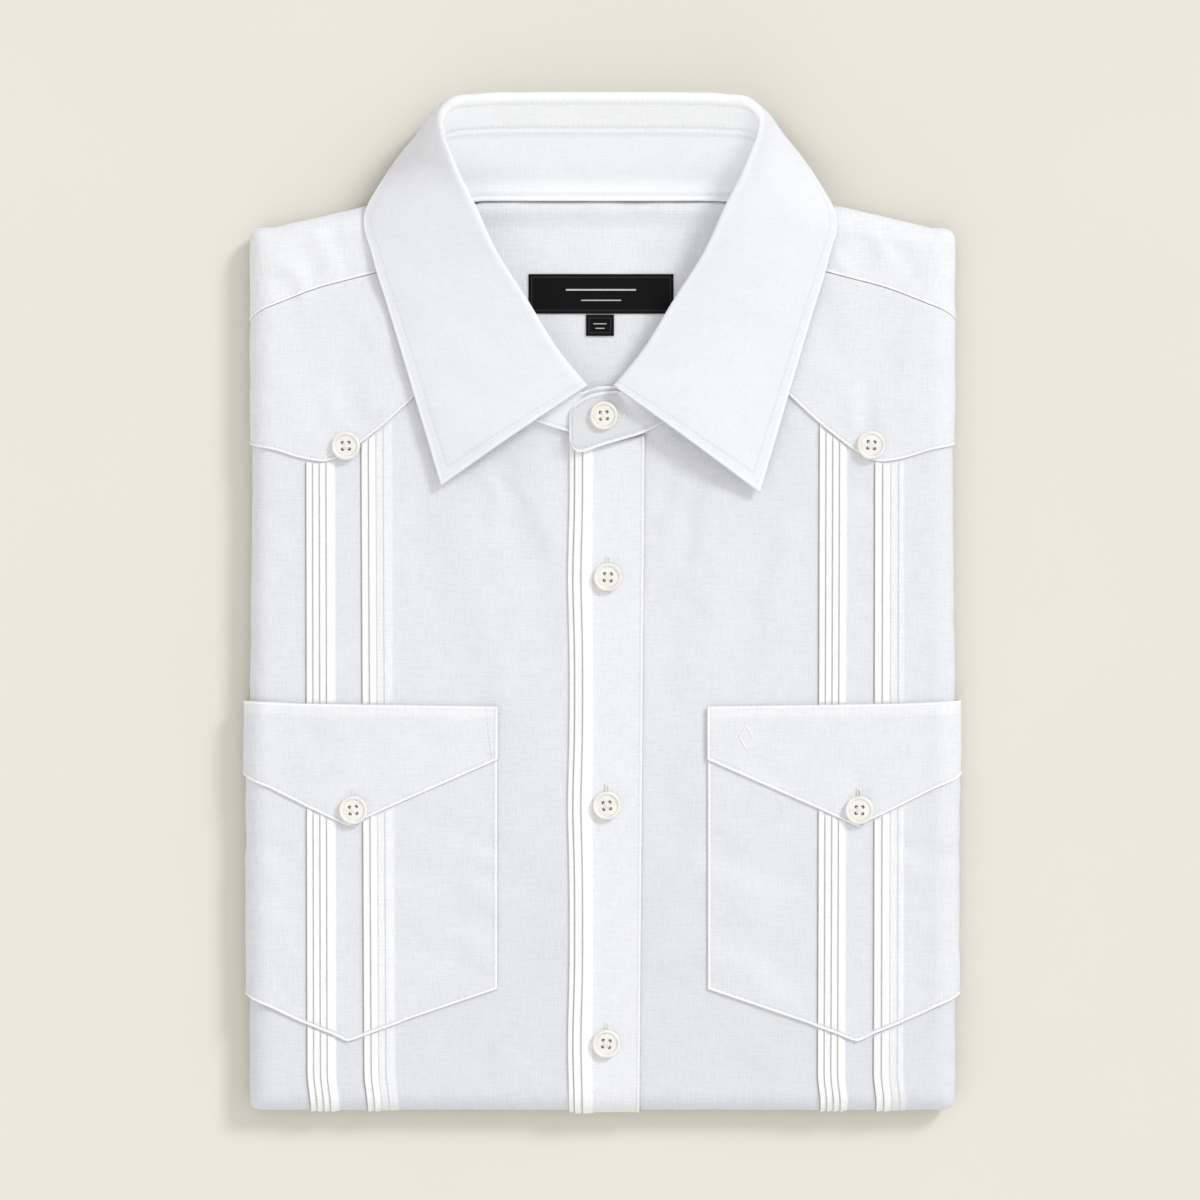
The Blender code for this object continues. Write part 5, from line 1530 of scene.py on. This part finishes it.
def collar_line(sheet, face, rows, columns):
    """Points and outward normals of a line on the upper or under face of a collar sheet, at distances up
    the sheet and along it: a mean of the four grid points round each place."""
    r = np.interp(rows, sheet["up"], np.arange(len(sheet["up"])))
    c = np.interp(columns, sheet["run"], np.arange(len(sheet["run"])))
    r, c = np.broadcast_arrays(r, c)
    r0, c0 = np.clip(r.astype(int), 0, len(sheet["up"]) - 2), np.clip(c.astype(int), 0, len(sheet["run"]) - 2)
    u, v = (r - r0)[:, None], (c - c0)[:, None]
    points, normals = ((1 - u) * (1 - v) * grid[r0, c0] + (1 - u) * v * grid[r0, c0 + 1]
                       + u * (1 - v) * grid[r0 + 1, c0] + u * v * grid[r0 + 1, c0 + 1]
                       for grid in (sheet[face], sheet["normal"]))
    return points, unit(normals) * (1 if face == "upper" else -1)


def fall_stitches(fall):
    """Topstitching round the fall's outer edges, and two lines inside its roll at the back."""
    top, run = fall["up"][-1], fall["run"][-1]
    end = TOPSTITCH_INSET / END_SLANT
    rise = np.linspace(TOPSTITCH_INSET, top - 19 * MM, 60)
    places = [(rise, end), (rise, run - end), (TOPSTITCH_INSET, np.linspace(end, run - end, 400)),
              (top - INNER_STITCH_INSET, np.linspace(run * 0.24, run * 0.76, 300)),
              (top - SEAM_STITCH_INSET, np.linspace(run * 0.2, run * 0.8, 300))]
    lines = [collar_line(fall, "under", rows, columns) for rows, columns in places]
    return stitched("collar_fall_stitches", lines, stitch=COLLAR_STITCH)


def stand_stitches(stand):
    """Along the stand's foot and top inside the neck, and round the edges of its rounded end."""
    top, run = stand["up"][-1], stand["run"][-1]
    inside = np.linspace(30 * MM, run - 40 * MM, 400)
    tab = np.linspace(run - 24 * MM, run - TAB_STITCH_INSET, 40)
    rise = np.linspace(TAB_STITCH_INSET, top - TAB_STITCH_INSET, 20)
    places = [("upper", 2.2 * MM, inside), ("upper", top - 1.4 * MM, inside),
              ("under", TAB_STITCH_INSET, tab), ("under", top - TAB_STITCH_INSET, tab),
              ("under", rise, run - TAB_STITCH_INSET)]
    lines = [collar_line(stand, *place) for place in places]
    return stitched("collar_stand_stitches", lines, stitch=COLLAR_STITCH)


def button_threads():
    """The thread that crosses between each button's holes, two strands each way."""
    centres, directions, normals = [], [], []
    for turn, (s, t, out) in zip(BUTTON_TURNS, BUTTONS.values()):
        place, (across, lengthwise, outward) = frame_on(s, t, out + BUTTON_OFF_CLOTH)
        for angle in HOLE_TURNS[:2] + turn:
            direction = np.cos(angle) * across + np.sin(angle) * lengthwise
            beside = np.cross(outward, direction)
            for shift in BUTTON_STRANDS:
                centres.append(place + (BUTTON_HEIGHT - 0.52 * MM) * outward + shift * beside)
                directions.append(direction)
                normals.append(outward)
    return thread_pieces("button_threads", "button", centres, directions, normals, 2 * HOLE_REACH,
                         BUTTON_STRAND_RADIUS)


def buttonhole(centre, lengthwise, outward, length):
    """Close stitches down both sides of a slit, and a bar of three across each end.  Each is its centre,
    direction, normal and length."""
    across = np.cross(lengthwise, outward)
    places = np.arange(-0.5 * length, 0.5 * length + 1e-9, SLIT_STITCH_PITCH)
    found = [(centre + place * lengthwise + side * SLIT_STITCH_OFFSET * across, SLIT_STITCH_LENGTH)
             for side in (-1, 1) for place in places]
    found += [(centre + end * (0.5 * length + SLIT_BAR_PITCH * step) * lengthwise, SLIT_BAR_LENGTH)
              for end in (-1, 1) for step in range(3)]
    return [(point, across, outward, size) for point, size in found]


def buttonholes():
    """The worked buttonholes that show beside the buttons: upright on the placket and flaps, level at the
    neck, where the hole lies over the thick end of the stand."""
    found = []
    for key, (s, t, out) in BUTTONS.items():
        if key == "neck_button":
            place, (across, _, outward) = frame_on(s + 1.4 * MM, t, out + 0.62 * MM)
            found += buttonhole(place, across, outward, 13.0 * MM)
        elif not key.startswith("yoke"):
            place, (_, lengthwise, outward) = frame_on(s, t + 1.0 * MM, out + 0.04 * MM)
            found += buttonhole(place, lengthwise, outward, 14.0 * MM)
    return thread_pieces("buttonholes", "double_cloth", *zip(*found), SLIT_STITCH_RADIUS)


def flap_motif():
    """A small plain satin-stitched lozenge, tone on tone, at the right flap's inner corner."""
    (middle_s, middle_t), half_wide, half_high = (57.4 * MM, -52.4 * MM), 2.6 * MM, 4.6 * MM
    corners = np.array([(0, half_high), (half_wide, 0), (0, -half_high), (-half_wide, 0), (0, half_high)])
    found = []
    for start, end in zip(corners, corners[1:]):
        for share in np.arange(0.04, 1.0, 0.09):
            s, t = (middle_s, middle_t) + start + share * (end - start)
            place, (_, lengthwise, outward) = frame_on(s, t, pocket_base(s, t) + FLAP_OUT - SECOND_OUT)
            found.append((place, lengthwise, outward))
    return thread_pieces("flap_motif", "double_cloth", *zip(*found), 1.5 * MM, 0.27 * MM)


# ---------------------------------------------------------------- stage, lights and camera

def add_stage():
    """A plain tabletop, a hair below the shirt."""
    floor = bpy.data.meshes.new("tabletop")
    corners = np.array([(-1, -1, 0), (1, -1, 0), (1, 1, 0), (-1, 1, 0)]) * FLOOR_HALF
    floor.from_pydata(corners.tolist(), [], [(0, 1, 2, 3)])
    floor.materials.append(floor_material())
    made = add_object("tabletop", floor)
    made.location.z = -FLOOR_GAP


def add_light(name, direction, angle, share, colour):
    """A far light of the given width of sky, from a direction; share is the part of a level surface's light
    that it gives."""
    data = bpy.data.lights.new(name, "SUN")
    towards = Vector(direction).normalized()
    data.angle, data.energy, data.color = np.radians(angle), np.pi * share / towards.z, colour
    add_object(name, data).rotation_euler = towards.to_track_quat("Z", "Y").to_euler()


def add_lights():
    """A soft, cool key and a very broad light from beyond the right shoulder, a broad one from the left of
    the hem, and warm, even light from all round."""
    add_light("key", (0.76, 0.70, 0.80), 14, 0.25, (0.95, 0.975, 1.0))
    add_light("broad", (0.80, 0.60, 0.90), 100, 0.07, (1.0, 1.0, 1.0))
    add_light("hem_fill", (-0.55, -0.80, 0.70), 90, 0.13, (1.0, 1.0, 1.0))
    world = bpy.data.worlds.new("studio")
    world.use_nodes = True
    feed_all(world.node_tree, world.node_tree.nodes["Background"],
             {"Color": (1.0, 0.985, 0.96, 1), "Strength": 0.645})
    bpy.context.scene.world = world


def add_camera():
    """Straight above, far enough away for little perspective."""
    data = bpy.data.cameras.new("camera")
    data.sensor_width, data.lens = 36.0, 225.0
    data.clip_start, data.clip_end = 0.1, 20.0
    made = add_object("camera", data)
    made.location = (-0.0010, 0.0024, 3.017)
    bpy.context.scene.camera = made


def build():
    """All the pieces of the shirt."""
    made = {"folded_layers": make_folded_layers()}
    for side, hand in ((-1, "left"), (1, "right")):
        for name, make in (("front", make_front), ("shoulder_yoke", make_shoulder_yoke),
                           ("front_yoke", make_front_yoke), ("pocket", make_pocket),
                           ("pocket_flap", make_pocket_flap)):
            made[f"{name}_{hand}"] = make(side, f"{name}_{hand}")
        for name, make in (("yoke", yoke_stitches), ("pocket", pocket_stitches), ("tuck", tuck_stitches)):
            made[f"{name}_stitches_{hand}"] = make(side, f"{name}_{hand}_stitches")
    made["placket"] = make_placket()
    made["placket_stitches"] = placket_stitches()
    made["inner_back_yoke"] = make_inner_back_yoke()
    made["neck_label"] = make_label("neck_label", LABEL, LABEL_RULES, LABEL_OUT)
    make_label("size_tab", SIZE_TAB, TAB_RULES, LABEL_OUT - 0.1 * MM)
    made["collar_stand"], stand = make_collar_stand()
    made["collar_fall"], fall = make_collar_fall()
    made["fall_stitches"] = fall_stitches(fall)
    made["stand_stitches"] = stand_stitches(stand)
    for (name, (s, t, out)), turn in zip(BUTTONS.items(), BUTTON_TURNS):
        make_button(name, s, t, out, turn)
    button_threads()
    buttonholes()
    flap_motif()


bpy.context.scene.view_settings.view_transform = "Standard"
build()
add_stage()
add_lights()
add_camera()
